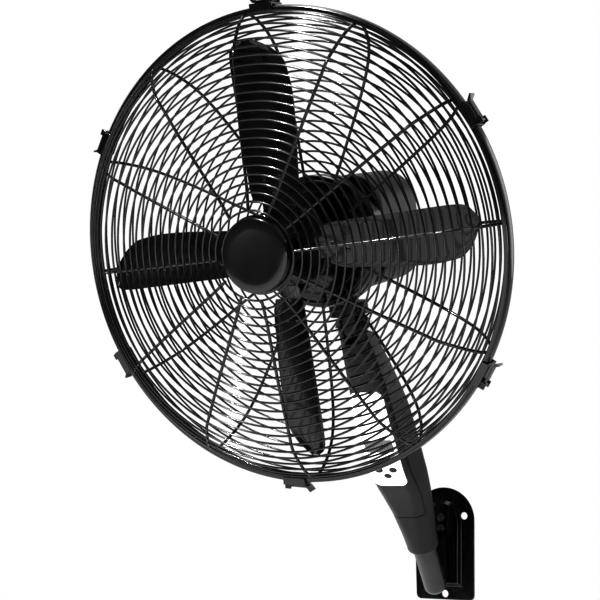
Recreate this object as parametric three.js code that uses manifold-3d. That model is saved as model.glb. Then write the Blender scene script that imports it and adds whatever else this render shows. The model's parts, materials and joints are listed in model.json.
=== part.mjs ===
// Wall mounted oscillating fan, 16 inch class. Millimetres, +Z up, the fan blows towards -Y, +Y is the wall.
// The origin is on the wall plate's back face, on its centre line, in the middle of its top flange.
import * as THREE from 'three';
import { mergeVertices } from 'three/addons/utils/BufferGeometryUtils.js';
import Module from 'manifold-3d';

const wasm = await Module();
wasm.setup();

// ---------------------------------------------------------------- driving dimensions
const SEAT_GAP = 0.3;            // between fixed pieces that meet
const RUNNING_GAP = 0.4;         // between pieces that move past each other
const degrees = (angle) => THREE.MathUtils.degToRad(angle);

// wall plate: pressed steel, arched top
const PLATE_FOOT_HALF_WIDTH = 37.2;
const PLATE_ARCH_RADIUS = 38.8;
const PLATE_ARCH_HEIGHT = 93.6;  // height of the arch centre over the bottom edge
const PLATE_SHEET = 2.3;
const PLATE_CORNER = 6;
const FLANGE_WIDTH = 16;
const PLATFORM_RISE = 5;
const PLATFORM_RUN = 3.5;
const PLATE_HOLE_RADIUS = 4.4;
const PLATE_SIDE_HOLE = [26.1, 98.6];
const PLATE_FOOT_HOLE_HEIGHT = 6.9;

// bracket between the plate and the foot tube
const BRACKET_WIDTH = 30;
const BRACKET_SHEET = 2.5;
const BRACKET_FOOT = 24;
const BRACKET_TOP = 104;
const CHEEK_OFFSET = 8;
const BRACKET_BOLT_HEIGHTS = [84, 97];
const BRACKET_BOLT_RADIUS = 2.5;
const BRACKET_BOLT_HEAD = 5;

// foot tube and the leaning arm
const ARM_LEAN = degrees(34.81);
const ARM_AXIS_STANDOFF = 18.1;  // where the arm's axis would meet the height of the plate's bottom edge
const TUBE_RADIUS = 13.3;
const TUBE_WALL = 2;
const TUBE_FOOT = 15;
const TUBE_FOOT_ROUND = 8;
const TUBE_TOP = 150;
const COLLAR_START = 79;
const CAVITY_START = 128;
const CAVITY_END = 345;
const LID_START = 131;
const ARM_WALL = 2.5;
const LID_DEPTH = 9;
// [distance along the arm, half width, front depth, rear depth, front corner, rear corner]
const ARM_SECTIONS = [
  [COLLAR_START, 18.3, 18.6, 18, 17.5, 17.5],
  [130, 21, 19.8, 25, 14, 16],
  [154, 23.5, 22.8, 26.3, 12, 17],
  [180, 25, 29, 26.3, 11, 17],
  [202, 25, 33.2, 27.2, 11, 17],
  [250, 24.5, 33.2, 28.2, 11, 17],
  [300, 22, 29.5, 20, 11, 14],
  [340, 18.5, 26, 9, 9, 9],
  [369, 16, 23.5, 3.5, 7, 7],
  [383, 16, 23.5, 3.5, 7, 7],
];

// control panel, display and buttons on the arm's front
const PANEL_HALF_WIDTH = 20.4;
const PANEL_START = 181;
const PANEL_END = 300;
const PANEL_CORNER = 9;
const PANEL_SHEET = 1.2;
const PANEL_PROUD = 0.4;
const DISPLAY_HALF_WIDTH = 17;
const DISPLAY_START = 227;
const DISPLAY_END = 242;
const DISPLAY_PROUD = 0.7;
const BUTTON_HALF_LENGTH = 4.4;
const BUTTON_HALF_HEIGHT = 3;
const BUTTON_PROUD = 1.6;
const BUTTON_TRAVEL = 1;
const BUTTON_DEPTH = 6;
const BUTTON_PLACES = [[0, 196], [-8.5, 204], [8.5, 204], [-5.3, 213.5], [5.3, 213.5]];
const BOARD_SHEET = 1.6;
const BOARD_HALF_WIDTH = 18.5;
const BOARD_START = 186;
const BOARD_END = 296;
const BOARD_FRONT = 20;
const SWITCH_SIZE = 5;
const BOARD_POST_RADIUS = 2.5;
const BOARD_POSTS = [[-15, 190], [15, 190], [-15, 290], [15, 290]];
const SHELL_SCREW_PLACES = [166, 316];
const SHELL_SCREW_RADIUS = 1.8;
const SHELL_SCREW_HEAD = 3.6;
const SCREW_POST_RADIUS = 4.5;
const SCREW_POST_MEETING = 2;

// tilt joint at the top of the arm
const TILT_ALONG = 369;
const TILT_FRONT = 10;
const EAR_RADIUS = 13.5;
const TONGUE_HALF_WIDTH = 8;
const TONGUE_RADIUS = 12;
const TILT_BOLT_RADIUS = 4;
const TILT_HEAD_RADIUS = 6.3;
const TILT_HEAD_HEIGHT = 3.5;
const SLOT_DEPTH = 13.5;

// head: fan axis, pan axis and neck, measured from the tilt bolt
const HEAD_TILT = degrees(17.55);
const FAN_FORWARD = 127.1;
const FAN_ABOVE = 98;
const PAN_FORWARD = 7.1;
const NECK_RADIUS = 21;
const NECK_UNDERSIDE = 14.5;
const NECK_TOP = 28;
const SPINDLE_RADIUS = 6;
const SPINDLE_FOOT = 17;
const SPINDLE_HEAD_RADIUS = 9;
const SPINDLE_HEAD_HEIGHT = 1.6;

// swing drive: a gear fixed on the spindle, and a pinion on a small geared motor that rides with the head
const GEAR_MODULE = 1;
const SWING_GEAR_TEETH = 40;
const SWING_PINION_TEETH = 16;
const GEAR_THICKNESS = 4;
const GEAR_ABOVE_FLOOR = 2.6;
const SWING_MOTOR_RADIUS = 13.5;
const SWING_MOTOR_HEIGHT = 20;
const SWING_SHAFT_RADIUS = 2;
const SWING_EAR_REACH = 20;
const SWING_POST_RADIUS = 2.6;

// motor: depths are measured from the middle of the rim, positive towards the front
const MOTOR_FACE = -67.7;
const DRUM_RADIUS = 68;
const DRUM_EDGE = 6;
const DRUM_BACK = -96;
const MOTOR_WALL = 3;
const NOSE_RADIUS = 22;
const NOSE_FRONT = -57;
const BEARING_RADIUS = 13;
const BEARING_LENGTH = 7;
const HOUSING_HALF_WIDTH = 66;
const HOUSING_HALF_HEIGHT = 59;
const HOUSING_CENTRE_UP = 4;
const HOUSING_CORNER = 36;
const HOUSING_BACK = -192;
const HOUSING_EDGE = 12;
const HOUSING_WALL = 2.8;
const STATOR_RADIUS = 42;
const STATOR_FRONT = -81;
const STATOR_BACK = -124;
const WINDING_INNER = 27;
const WINDING_OUTER = 37;
const WINDING_LENGTH = 5.6;
const ROTOR_RADIUS = 24;
const SHAFT_RADIUS = 5;
const SHAFT_BACK = -141;
const SHIELD_WALL = 2.4;
const SHIELD_LENGTH = 8.6;

// wheel
const SHAFT_FRONT = 12;
const HUB_RADIUS = 15;
const HUB_BACK = -24;
const HUB_FRONT = 4;
const HUB_DISC_RADIUS = 44;
const HUB_DISC_SHEET = 3;
const HUB_DISC_DEPTH = -7;
const BLADE_COUNT = 4;
const BLADE_SHEET = 1.5;
const BLADE_DEPTH = 2;
const BLADE_PITCH = degrees(21);
const BLADE_CAMBER = 2.5;
// [radius, leading edge, trailing edge]: the edges lie across the blade's centre line
const BLADE_OUTLINE = [
  [48, -19, 19], [60, -24, 20.5], [87, -26.5, 21], [115, -29, 21.3], [145, -30.3, 21.7],
  [175, -27.5, 22], [189, -19, 21.5], [197, -9, 18.5], [203, 0, 11],
];
const ARM_PLATE_SHEET = 2;
const ARM_PLATE_HALF_WIDTH = 13;
const ARM_PLATE_INNER = 36;
const ARM_PLATE_OUTER = 78;
const SPINNER_RADIUS = 15;
const SPINNER_LENGTH = 14;

// guards and rim band
const RIM_RADIUS = 230;
const RIM_HALF_WIDTH = 8;
const RIM_SHEET = 1.5;
const RIM_LIP = 5.5;
const RIM_CHAMFER = 2;
const WIRE_THICKNESS = 2.5;
const RING_WIDTH = 2.2;
const SPOKE_WIDTH = 3;
const SPOKE_COUNT = 12;
const ARCS_PER_SPOKE = 2;
const LOOP_CLEARANCE = 2.2;      // from the band's inner wall to the middle of a guard's edge wire
const LOOP_DEPTH = 3.2;
const GUARD_SIDE_RADIUS = 222.3;
// each profile runs from the middle out to the rim, as [radius, depth]
const FRONT_PROFILE = [[28, 46], [38, 46], [43, 53.2], [115, 46.8], [188, 39.4], [GUARD_SIDE_RADIUS, 14]];
const REAR_PROFILE = [[24, -66], [52, -66], [100, -64], [150, -59.5], [196, -47], [GUARD_SIDE_RADIUS, -18]];
const FRONT_RING_RADII = [29.5, 43, 70, 97, 124, 151, 178, 203];
const REAR_RING_RADII = [76, 112, 148, 184, 206];
const REAR_PLATE_OUTER = 50;
const CAP_RADIUS = 35.6;
const CAP_FACE = 55.1;
const CAP_WALL = 2;
const CAP_EDGE = 1.6;
const GUARD_NUT_RADIUS = 31;
const GUARD_NUT_LENGTH = 8;

// over-centre clips round the rim
const CLIP_COUNT = 6;
const CLIP_PHASE = 25;
const CLIP_LENGTH = 24;
const CLIP_SHEET = 2;
const CLIP_HOOK = 5;
const CLIP_EAR = 2;
const LEVER_HALF_WIDTH = 5;
const LEVER_SHEET = 1.6;
const LEVER_LENGTH = 21;
const LEVER_PIN_RADIUS = 1.2;
const LEVER_TAB = 6;

// segment counts
const ROUND = 20;
const LARGE_ROUND = 32;
const SMALL_ROUND = 12;
const RIM_SEGMENTS = 60;
const CORNER_SEGMENTS = 3;

// ---------------------------------------------------------------- materials
const finish = (color, roughness, metalness) => new THREE.MeshStandardMaterial({ color, roughness, metalness });
const blackEnamel = finish(0x0c0c0d, 0.28, 0.2);
const satinBlack = finish(0x1b1b1c, 0.5, 0.05);
const tubeBlack = finish(0x2a2a2b, 0.42, 0.3);
const silverPanel = finish(0xd9d9d9, 0.4, 0.2);
const darkLens = finish(0x101114, 0.12, 0);
const buttonBlack = finish(0x161616, 0.45, 0);
const boardGreen = finish(0x1d4a2c, 0.6, 0);
const zincSteel = finish(0xa9abad, 0.35, 0.9);
const brightSteel = finish(0xc9cbcd, 0.25, 1);
const laminationSteel = finish(0x6b6d70, 0.5, 0.8);
const copperWire = finish(0xa5562a, 0.45, 0.7);
const gearNylon = finish(0xe2dfd2, 0.5, 0);

// ---------------------------------------------------------------- geometry helpers
function bare(geometry) {
  const plain = geometry.index ? geometry.toNonIndexed() : geometry.clone();
  plain.deleteAttribute('normal');
  plain.deleteAttribute('uv');
  return mergeVertices(plain, 1e-4);
}

function signedVolume(geometry) {
  const position = geometry.attributes.position;
  const index = geometry.index.array;
  const [a, b, c] = [new THREE.Vector3(), new THREE.Vector3(), new THREE.Vector3()];
  let volume = 0;
  for (let i = 0; i < index.length; i += 3) {
    a.fromBufferAttribute(position, index[i]);
    b.fromBufferAttribute(position, index[i + 1]);
    c.fromBufferAttribute(position, index[i + 2]);
    volume += a.dot(b.cross(c)) / 6;
  }
  return volume;
}

// faces point out of the material
function outward(geometry) {
  const plain = bare(geometry);
  if (signedVolume(plain) < 0) {
    const index = plain.index.array;
    for (let i = 0; i < index.length; i += 3) {
      [index[i + 1], index[i + 2]] = [index[i + 2], index[i + 1]];
    }
  }
  return plain;
}

function solidOf(geometry) {
  const plain = outward(geometry);
  const vertProperties = new Float32Array(plain.attributes.position.array);
  const triVerts = new Uint32Array(plain.index.array);
  return new wasm.Manifold(new wasm.Mesh({ numProp: 3, vertProperties, triVerts }));
}

function geometryOf(solid) {
  const mesh = solid.getMesh();
  const geometry = new THREE.BufferGeometry();
  const places = new Float32Array(mesh.numVert * 3);
  for (let i = 0; i < mesh.numVert; i += 1) {
    for (let k = 0; k < 3; k += 1) places[3 * i + k] = mesh.vertProperties[mesh.numProp * i + k];
  }
  geometry.setAttribute('position', new THREE.BufferAttribute(places, 3));
  geometry.setIndex(new THREE.BufferAttribute(new Uint32Array(mesh.triVerts), 1));
  return geometry;
}

const join = (first, ...rest) => geometryOf(rest.reduce((sum, piece) => sum.add(solidOf(piece)), solidOf(first)));
const cut = (first, ...rest) => geometryOf(rest.reduce((sum, tool) => sum.subtract(solidOf(tool)), solidOf(first)));
const common = (first, second) => geometryOf(solidOf(first).intersect(solidOf(second)));

// a box between two opposite corners
function block(low, high) {
  const size = high.map((value, i) => value - low[i]);
  const middle = high.map((value, i) => (value + low[i]) / 2);
  return new THREE.BoxGeometry(...size).translate(...middle);
}

// a rod along Y between two depths: depth d lies at y = -d
function rodAlongDepth(radius, back, front, segments = ROUND) {
  return new THREE.CylinderGeometry(radius, radius, front - back, segments).translate(0, -(front + back) / 2, 0);
}

function rodAlongX(radius, from, to, segments = ROUND) {
  const rod = new THREE.CylinderGeometry(radius, radius, to - from, segments).rotateZ(Math.PI / 2);
  return rod.translate((from + to) / 2, 0, 0);
}

function rodAlongZ(radius, from, to, segments = ROUND) {
  const rod = new THREE.CylinderGeometry(radius, radius, to - from, segments).rotateX(Math.PI / 2);
  return rod.translate(0, 0, (from + to) / 2);
}

// a turned piece about the fan axis from [radius, depth] points
function turned(points, segments = ROUND) {
  return new THREE.LatheGeometry(points.map(([radius, depth]) => new THREE.Vector2(radius, -depth)), segments);
}

const closedLoop = (points) => [...points, points[0]];

function ringAlongDepth(inner, outer, back, front, segments = ROUND) {
  return turned(closedLoop([[inner, back], [outer, back], [outer, front], [inner, front]]), segments);
}

// a solid through rings of points, each ring convex and with the same number of points
function loft(rings) {
  const count = rings[0].length;
  const index = [];
  for (let i = 0; i + 1 < rings.length; i += 1) {
    for (let j = 0; j < count; j += 1) {
      const [a, b] = [i * count + j, i * count + ((j + 1) % count)];
      index.push(a, b, b + count, a, b + count, a + count);
    }
  }
  const last = (rings.length - 1) * count;
  for (let j = 1; j + 1 < count; j += 1) {
    index.push(0, j + 1, j, last, last + j, last + j + 1);
  }
  const geometry = new THREE.BufferGeometry();
  geometry.setAttribute('position', new THREE.Float32BufferAttribute(rings.flat(2), 3));
  geometry.setIndex(index);
  return geometry;
}

// points of a rounded rectangle, anticlockwise; corners start at the lower right one
function roundedRectangle([left, right], [low, high], lowRadius, highRadius, segments = CORNER_SEGMENTS) {
  const corners = [
    [right - lowRadius, low + lowRadius, lowRadius, -Math.PI / 2],
    [right - highRadius, high - highRadius, highRadius, 0],
    [left + highRadius, high - highRadius, highRadius, Math.PI / 2],
    [left + lowRadius, low + lowRadius, lowRadius, Math.PI],
  ];
  return corners.flatMap(([x, y, radius, start]) => Array.from({ length: segments + 1 }, (_, i) => {
    const angle = start + (i / segments) * (Math.PI / 2);
    return [x + radius * Math.cos(angle), y + radius * Math.sin(angle)];
  }));
}

const shapeOf = (points) => new THREE.Shape(points.map(([x, y]) => new THREE.Vector2(x, y)));

function prism(points, depth) {
  return new THREE.ExtrudeGeometry(shapeOf(points), { depth, bevelEnabled: false });
}

// straight-line reading of a table whose rows start with the position
function readTable(table, position) {
  let row = 0;
  while (row + 2 < table.length && position > table[row + 1][0]) row += 1;
  const [from, to] = [table[row], table[row + 1]];
  const share = (position - from[0]) / (to[0] - from[0]);
  return from.map((value, i) => value + share * (to[i] - value));
}

function named(name, geometry, material) {
  const mesh = new THREE.Mesh(outward(geometry), material);
  mesh.name = name;
  return mesh;
}

// ---------------------------------------------------------------- wall plate and bracket
const PLATE_HEIGHT = PLATE_ARCH_HEIGHT + PLATE_ARCH_RADIUS;
const MOUNT_HEIGHT = PLATE_HEIGHT - FLANGE_WIDTH / 2;
const PLATFORM_FACE = -(PLATE_SHEET + PLATFORM_RISE);

// the plate's outline drawn in by an inset, at one distance from the wall
function plateRing(inset, distance, corner) {
  const arch = PLATE_ARCH_RADIUS - inset;
  const foot = PLATE_FOOT_HALF_WIDTH - inset;
  const points = [];
  for (let i = 0; i <= CORNER_SEGMENTS; i += 1) {
    const angle = -Math.PI / 2 + (i / CORNER_SEGMENTS) * (Math.PI / 2);
    points.push([foot - corner + corner * Math.cos(angle), inset + corner + corner * Math.sin(angle)]);
  }
  for (let i = 0; i <= SMALL_ROUND; i += 1) {
    const angle = (i / SMALL_ROUND) * Math.PI;
    points.push([arch * Math.cos(angle), PLATE_ARCH_HEIGHT + arch * Math.sin(angle)]);
  }
  for (let i = 0; i <= CORNER_SEGMENTS; i += 1) {
    const angle = Math.PI + (i / CORNER_SEGMENTS) * (Math.PI / 2);
    points.push([-foot + corner + corner * Math.cos(angle), inset + corner + corner * Math.sin(angle)]);
  }
  return points.map(([x, z]) => [x, -distance, z]);
}

function makeWallPlate() {
  const edge = PLATE_SHEET / 2;
  const flange = loft([
    plateRing(0, 0, PLATE_CORNER),
    plateRing(0, edge, PLATE_CORNER),
    plateRing(edge, PLATE_SHEET, PLATE_CORNER),
  ]);
  const top = PLATE_SHEET + PLATFORM_RISE;
  const platform = loft([
    plateRing(FLANGE_WIDTH, edge, PLATE_CORNER),
    plateRing(FLANGE_WIDTH, PLATE_SHEET, PLATE_CORNER),
    plateRing(FLANGE_WIDTH + PLATFORM_RUN, top, PLATE_CORNER),
  ]);
  const hollow = loft([
    plateRing(FLANGE_WIDTH + PLATE_SHEET, -edge, PLATE_CORNER),
    plateRing(FLANGE_WIDTH + PLATE_SHEET, 0, PLATE_CORNER),
    plateRing(FLANGE_WIDTH + PLATE_SHEET + PLATFORM_RUN, PLATFORM_RISE, PLATE_CORNER),
  ]);
  const [sideX, sideHeight] = PLATE_SIDE_HOLE;
  const holes = [[sideX, sideHeight], [-sideX, sideHeight], [0, PLATE_FOOT_HOLE_HEIGHT]].map(([x, z]) => (
    rodAlongDepth(PLATE_HOLE_RADIUS, -top, top).translate(x, 0, z)));
  const boltHoles = BRACKET_BOLT_HEIGHTS.map((z) => (
    rodAlongDepth(BRACKET_BOLT_RADIUS + SEAT_GAP, 0, 2 * top, SMALL_ROUND).translate(0, 0, z)));
  return cut(join(flange, platform), hollow, ...holes, ...boltHoles);
}

// along the arm's axis and in front of it, as a place in the plate's frame
function armPlace(along, front) {
  const [sine, cosine] = [Math.sin(ARM_LEAN), Math.cos(ARM_LEAN)];
  return [-ARM_AXIS_STANDOFF - along * sine - front * cosine, along * cosine - front * sine];
}

function makePlateBracket() {
  const back = PLATFORM_FACE - SEAT_GAP;
  const front = back - BRACKET_SHEET;
  const base = block([-BRACKET_WIDTH / 2, front, BRACKET_FOOT], [BRACKET_WIDTH / 2, back, BRACKET_TOP]);
  const reach = COLLAR_START - TUBE_WALL * 3;
  const side = [
    [front + BRACKET_SHEET / 2, BRACKET_FOOT],
    armPlace(TUBE_FOOT + TUBE_FOOT_ROUND, 0),
    armPlace(reach, 0),
    [front + BRACKET_SHEET / 2, BRACKET_BOLT_HEIGHTS[0] - BRACKET_BOLT_HEAD],
  ];
  // the cheek's outline lies in the plane of Y and Z
  const cheek = prism(side, BRACKET_SHEET).rotateY(Math.PI / 2).rotateX(Math.PI / 2);
  const cheeks = [CHEEK_OFFSET, -CHEEK_OFFSET - BRACKET_SHEET].map((x) => cheek.clone().translate(x, 0, 0));
  const tube = rodAlongZ(TUBE_RADIUS + SEAT_GAP, -TUBE_TOP, TUBE_TOP).rotateX(ARM_LEAN);
  tube.translate(0, -ARM_AXIS_STANDOFF, 0);
  const holes = BRACKET_BOLT_HEIGHTS.map((z) => (
    rodAlongDepth(BRACKET_BOLT_RADIUS + SEAT_GAP, 0, -2 * front, SMALL_ROUND).translate(0, 0, z)));
  return cut(join(base, ...cheeks), tube, ...holes);
}

function makeBracketBolt() {
  const seat = -PLATFORM_FACE + SEAT_GAP + BRACKET_SHEET + SEAT_GAP;
  const head = BRACKET_BOLT_HEAD;
  return turned([
    [0, PLATE_SHEET], [BRACKET_BOLT_RADIUS, PLATE_SHEET], [BRACKET_BOLT_RADIUS, seat],
    [head, seat], [head, seat + head / 3], [head / 2, seat + (2 * head) / 3], [0, seat + (2 * head) / 3],
  ], SMALL_ROUND);
}

// ---------------------------------------------------------------- foot tube and arm shells
function makeFootTube() {
  const [outer, inner] = [TUBE_RADIUS, TUBE_RADIUS - TUBE_WALL];
  const rounding = Array.from({ length: CORNER_SEGMENTS + 1 }, (_, i) => {
    const angle = (i / CORNER_SEGMENTS) * (Math.PI / 2);
    return [
      outer - TUBE_FOOT_ROUND + TUBE_FOOT_ROUND * Math.sin(angle),
      TUBE_FOOT + TUBE_FOOT_ROUND * (1 - Math.cos(angle)),
    ];
  });
  const floor = TUBE_FOOT + TUBE_FOOT_ROUND;
  const profile = [[0, TUBE_FOOT], ...rounding, [outer, TUBE_TOP], [inner, TUBE_TOP], [inner, floor], [0, floor]];
  return new THREE.LatheGeometry(profile.map(([r, z]) => new THREE.Vector2(r, z)), ROUND).rotateX(Math.PI / 2);
}

// one ring of the arm's outside at a distance along it, drawn in by an inset
function armRing(along, inset = 0) {
  const [, halfWidth, front, rear, frontCorner, rearCorner] = readTable(ARM_SECTIONS, along);
  const width = [-halfWidth + inset, halfWidth - inset];
  const depth = [-front + inset, rear - inset];
  const ring = roundedRectangle(width, depth, frontCorner - inset, rearCorner - inset);
  return ring.map(([x, y]) => [x, y, along]);
}

const armFront = (along) => readTable(ARM_SECTIONS, along)[2];
const stationsBetween = (from, to) => [
  from, ...ARM_SECTIONS.map(([along]) => along).filter((along) => along > from && along < to), to];

// the space between two depths under or over the arm's front face, as wide as asked
function frontBand(from, to, halfWidth, innerDepth, outerDepth) {
  return loft(stationsBetween(from, to).map((along) => {
    const front = armFront(along);
    const [near, far] = [-(front + outerDepth), -(front + innerDepth)];
    return [[-halfWidth, near, along], [halfWidth, near, along], [halfWidth, far, along], [-halfWidth, far, along]];
  }));
}

// a prism that runs through the arm's front wall, with its outline in X and distance along the arm
function throughFront(points) {
  const reach = 2 * armFront(PANEL_START);
  return prism(points, reach).rotateX(Math.PI / 2);
}

const ARM_REACH = 60;            // further out than any side of the arm

function panelOutline(gap) {
  const width = PANEL_HALF_WIDTH + gap;
  return roundedRectangle([-width, width], [PANEL_START - gap, PANEL_END + gap], PANEL_CORNER, PANEL_CORNER);
}

function displayOutline(gap) {
  const width = DISPLAY_HALF_WIDTH + gap;
  return roundedRectangle([-width, width], [DISPLAY_START - gap, DISPLAY_END + gap], 3, 6);
}

function buttonOutline([x, along], gap) {
  return Array.from({ length: SMALL_ROUND }, (_, i) => {
    const angle = (2 * Math.PI * i) / SMALL_ROUND;
    return [
      x + (BUTTON_HALF_LENGTH + gap) * Math.cos(angle),
      along + (BUTTON_HALF_HEIGHT + gap) * Math.sin(angle),
    ];
  });
}

const buttonHoles = () => BUTTON_PLACES.map((place) => throughFront(buttonOutline(place, RUNNING_GAP)));

function armShell() {
  const end = TILT_ALONG + EAR_RADIUS;
  const outside = loft(stationsBetween(COLLAR_START, end).map((along) => armRing(along)));
  const inside = loft(stationsBetween(CAVITY_START, CAVITY_END).map((along) => armRing(along, ARM_WALL)));
  return cut(outside, inside);
}

const lidZone = (gap) => frontBand(LID_START + gap, CAVITY_END - gap, ARM_REACH, gap - LID_DEPTH, ARM_REACH);

function shellScrewRod(radius, along, rear, front) {
  return rodAlongDepth(radius, rear, front, SMALL_ROUND).translate(0, 0, along);
}

function makeArmRearShell() {
  const pivot = [0, -TILT_FRONT, TILT_ALONG];
  const bore = rodAlongZ(TUBE_RADIUS + SEAT_GAP, 0, CAVITY_START + ARM_WALL);
  const earDisc = rodAlongX(EAR_RADIUS, -ARM_REACH, ARM_REACH).translate(...pivot);
  const aboveEars = block([-ARM_REACH, -ARM_REACH, TILT_ALONG], [ARM_REACH, ARM_REACH, TILT_ALONG + ARM_REACH]);
  const slot = TONGUE_HALF_WIDTH + RUNNING_GAP;
  const tongueSlot = block(
    [-slot, -ARM_REACH, TILT_ALONG - SLOT_DEPTH], [slot, ARM_REACH, TILT_ALONG + ARM_REACH]);
  const boltHole = rodAlongX(TILT_BOLT_RADIUS + SEAT_GAP, -ARM_REACH, ARM_REACH, SMALL_ROUND).translate(...pivot);
  const shell = cut(armShell(), bore, lidZone(-SEAT_GAP / 2), cut(aboveEars, earDisc), tongueSlot, boltHole);
  const posts = SHELL_SCREW_PLACES.map((along) => {
    const rear = readTable(ARM_SECTIONS, along)[3];
    return shellScrewRod(SCREW_POST_RADIUS, along, -rear + ARM_WALL / 2, -SCREW_POST_MEETING);
  });
  const bores = SHELL_SCREW_PLACES.flatMap((along) => {
    const rear = readTable(ARM_SECTIONS, along)[3];
    return [
      shellScrewRod(SHELL_SCREW_RADIUS + SEAT_GAP, along, -ARM_REACH, 0),
      shellScrewRod(SHELL_SCREW_HEAD + SEAT_GAP, along, -ARM_REACH, -rear + ARM_WALL),
    ];
  });
  return cut(join(shell, ...posts), ...bores);
}

function makeArmFrontShell() {
  const lid = common(armShell(), lidZone(SEAT_GAP / 2));
  const pocket = common(
    frontBand(PANEL_START - PANEL_CORNER, PANEL_END + PANEL_CORNER, ARM_REACH, -PANEL_SHEET - SEAT_GAP, ARM_REACH),
    throughFront(panelOutline(SEAT_GAP)).translate(0, -1, 0),
  );
  const boardPosts = BOARD_POSTS.map(([x, along]) => {
    const front = armFront(along) - ARM_WALL / 2;
    return rodAlongDepth(BOARD_POST_RADIUS, BOARD_FRONT + SEAT_GAP, front - SEAT_GAP, SMALL_ROUND).translate(x, 0, along);
  });
  const screwPosts = SHELL_SCREW_PLACES.map((along) => (
    shellScrewRod(SCREW_POST_RADIUS, along, SEAT_GAP - SCREW_POST_MEETING, armFront(along) - ARM_WALL / 2)));
  const screwBores = SHELL_SCREW_PLACES.map((along) => (
    shellScrewRod(SHELL_SCREW_RADIUS + SEAT_GAP, along, -ARM_REACH, armFront(along) - 2 * ARM_WALL)));
  const displayWell = throughFront(displayOutline(SEAT_GAP));
  return cut(join(lid, ...boardPosts, ...screwPosts), pocket, displayWell, ...buttonHoles(), ...screwBores);
}

function makeShellScrew(along) {
  const rear = readTable(ARM_SECTIONS, along)[3];
  const seat = -rear + ARM_WALL - SEAT_GAP;
  const tip = armFront(along) - 3 * ARM_WALL;
  return turned([
    [0, seat - ARM_WALL / 2], [SHELL_SCREW_HEAD, seat - ARM_WALL / 2], [SHELL_SCREW_HEAD, seat],
    [SHELL_SCREW_RADIUS, seat], [SHELL_SCREW_RADIUS, tip], [0, tip],
  ], SMALL_ROUND).translate(0, 0, along);
}

function makeControlPanel() {
  const sheet = frontBand(
    PANEL_START - PANEL_CORNER, PANEL_END + PANEL_CORNER, ARM_REACH, -PANEL_SHEET, PANEL_PROUD);
  const outlined = common(sheet, throughFront(panelOutline(0)));
  return cut(outlined, throughFront(displayOutline(SEAT_GAP)), ...buttonHoles());
}

function makeDisplayWindow() {
  const lens = frontBand(
    DISPLAY_START - PANEL_CORNER, DISPLAY_END + PANEL_CORNER, ARM_REACH, -PANEL_SHEET - ARM_WALL, DISPLAY_PROUD);
  return common(lens, throughFront(displayOutline(0)));
}

function makeButton(place) {
  const front = armFront(place[1]);
  const height = BUTTON_DEPTH + BUTTON_PROUD;
  return prism(buttonOutline(place, 0), height).rotateX(Math.PI / 2).translate(0, BUTTON_DEPTH - front, 0);
}

function makeCircuitBoard() {
  const board = block(
    [-BOARD_HALF_WIDTH, -BOARD_FRONT, BOARD_START],
    [BOARD_HALF_WIDTH, -BOARD_FRONT + BOARD_SHEET, BOARD_END]);
  const switches = BUTTON_PLACES.map(([x, along]) => {
    const half = SWITCH_SIZE / 2;
    const top = armFront(along) - BUTTON_DEPTH - BUTTON_TRAVEL - SEAT_GAP;
    return block([x - half, -top, along - half], [x + half, -BOARD_FRONT + BOARD_SHEET / 2, along + half]);
  });
  return join(board, ...switches);
}

// ---------------------------------------------------------------- tilt bolt and neck, about the tilt bolt
// clear of the ears where the bolt's head and nut bear on them
const earHalfWidth = () => readTable(ARM_SECTIONS, TILT_ALONG - TILT_HEAD_RADIUS)[1] + SEAT_GAP / 2;

function makeTiltBolt() {
  const ear = earHalfWidth();
  const head = rodAlongX(TILT_HEAD_RADIUS, ear, ear + TILT_HEAD_HEIGHT);
  return join(rodAlongX(TILT_BOLT_RADIUS, -ear - TILT_HEAD_HEIGHT, ear + SEAT_GAP, SMALL_ROUND), head);
}

function makeTiltNut() {
  const ear = earHalfWidth();
  const nut = rodAlongX(TILT_HEAD_RADIUS, -ear - TILT_HEAD_HEIGHT, -ear, 6);
  return cut(nut, rodAlongX(TILT_BOLT_RADIUS + SEAT_GAP, -2 * ear, 0, SMALL_ROUND));
}

function makeNeck() {
  const half = TONGUE_HALF_WIDTH;
  const eye = rodAlongX(TONGUE_RADIUS, -half, half);
  const web = block([-half, -TONGUE_RADIUS, 0], [half, TONGUE_RADIUS, NECK_UNDERSIDE + 1]);
  const table = rodAlongZ(NECK_RADIUS, NECK_UNDERSIDE, NECK_TOP).translate(0, -PAN_FORWARD, 0);
  const boltHole = rodAlongX(TILT_BOLT_RADIUS + RUNNING_GAP, -ARM_REACH, ARM_REACH, SMALL_ROUND);
  const spindleBore = rodAlongZ(SPINDLE_RADIUS + SEAT_GAP, SPINDLE_FOOT - SEAT_GAP, 2 * NECK_TOP);
  return cut(join(eye, web, table), boltHole, spindleBore.translate(0, -PAN_FORWARD, 0));
}

// ---------------------------------------------------------------- head: about the fan axis, middle of the rim
const PAN_DEPTH = PAN_FORWARD - FAN_FORWARD;
const HOUSING_FLOOR = HOUSING_CENTRE_UP - HOUSING_HALF_HEIGHT + HOUSING_WALL;
const GEAR_BASE = HOUSING_FLOOR + GEAR_ABOVE_FLOOR;
const GEAR_TOP = GEAR_BASE + GEAR_THICKNESS;
const SWING_GEAR_RADIUS = (GEAR_MODULE * SWING_GEAR_TEETH) / 2;
const SWING_PINION_RADIUS = (GEAR_MODULE * SWING_PINION_TEETH) / 2;
const PINION_DEPTH = PAN_DEPTH - SWING_GEAR_RADIUS - SWING_PINION_RADIUS;
const NECK_TOP_UP = NECK_TOP - FAN_ABOVE;
const aboutPan = (geometry) => geometry.translate(0, -PAN_DEPTH, 0);
const aboutPinion = (geometry) => geometry.translate(0, -PINION_DEPTH, 0);

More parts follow.
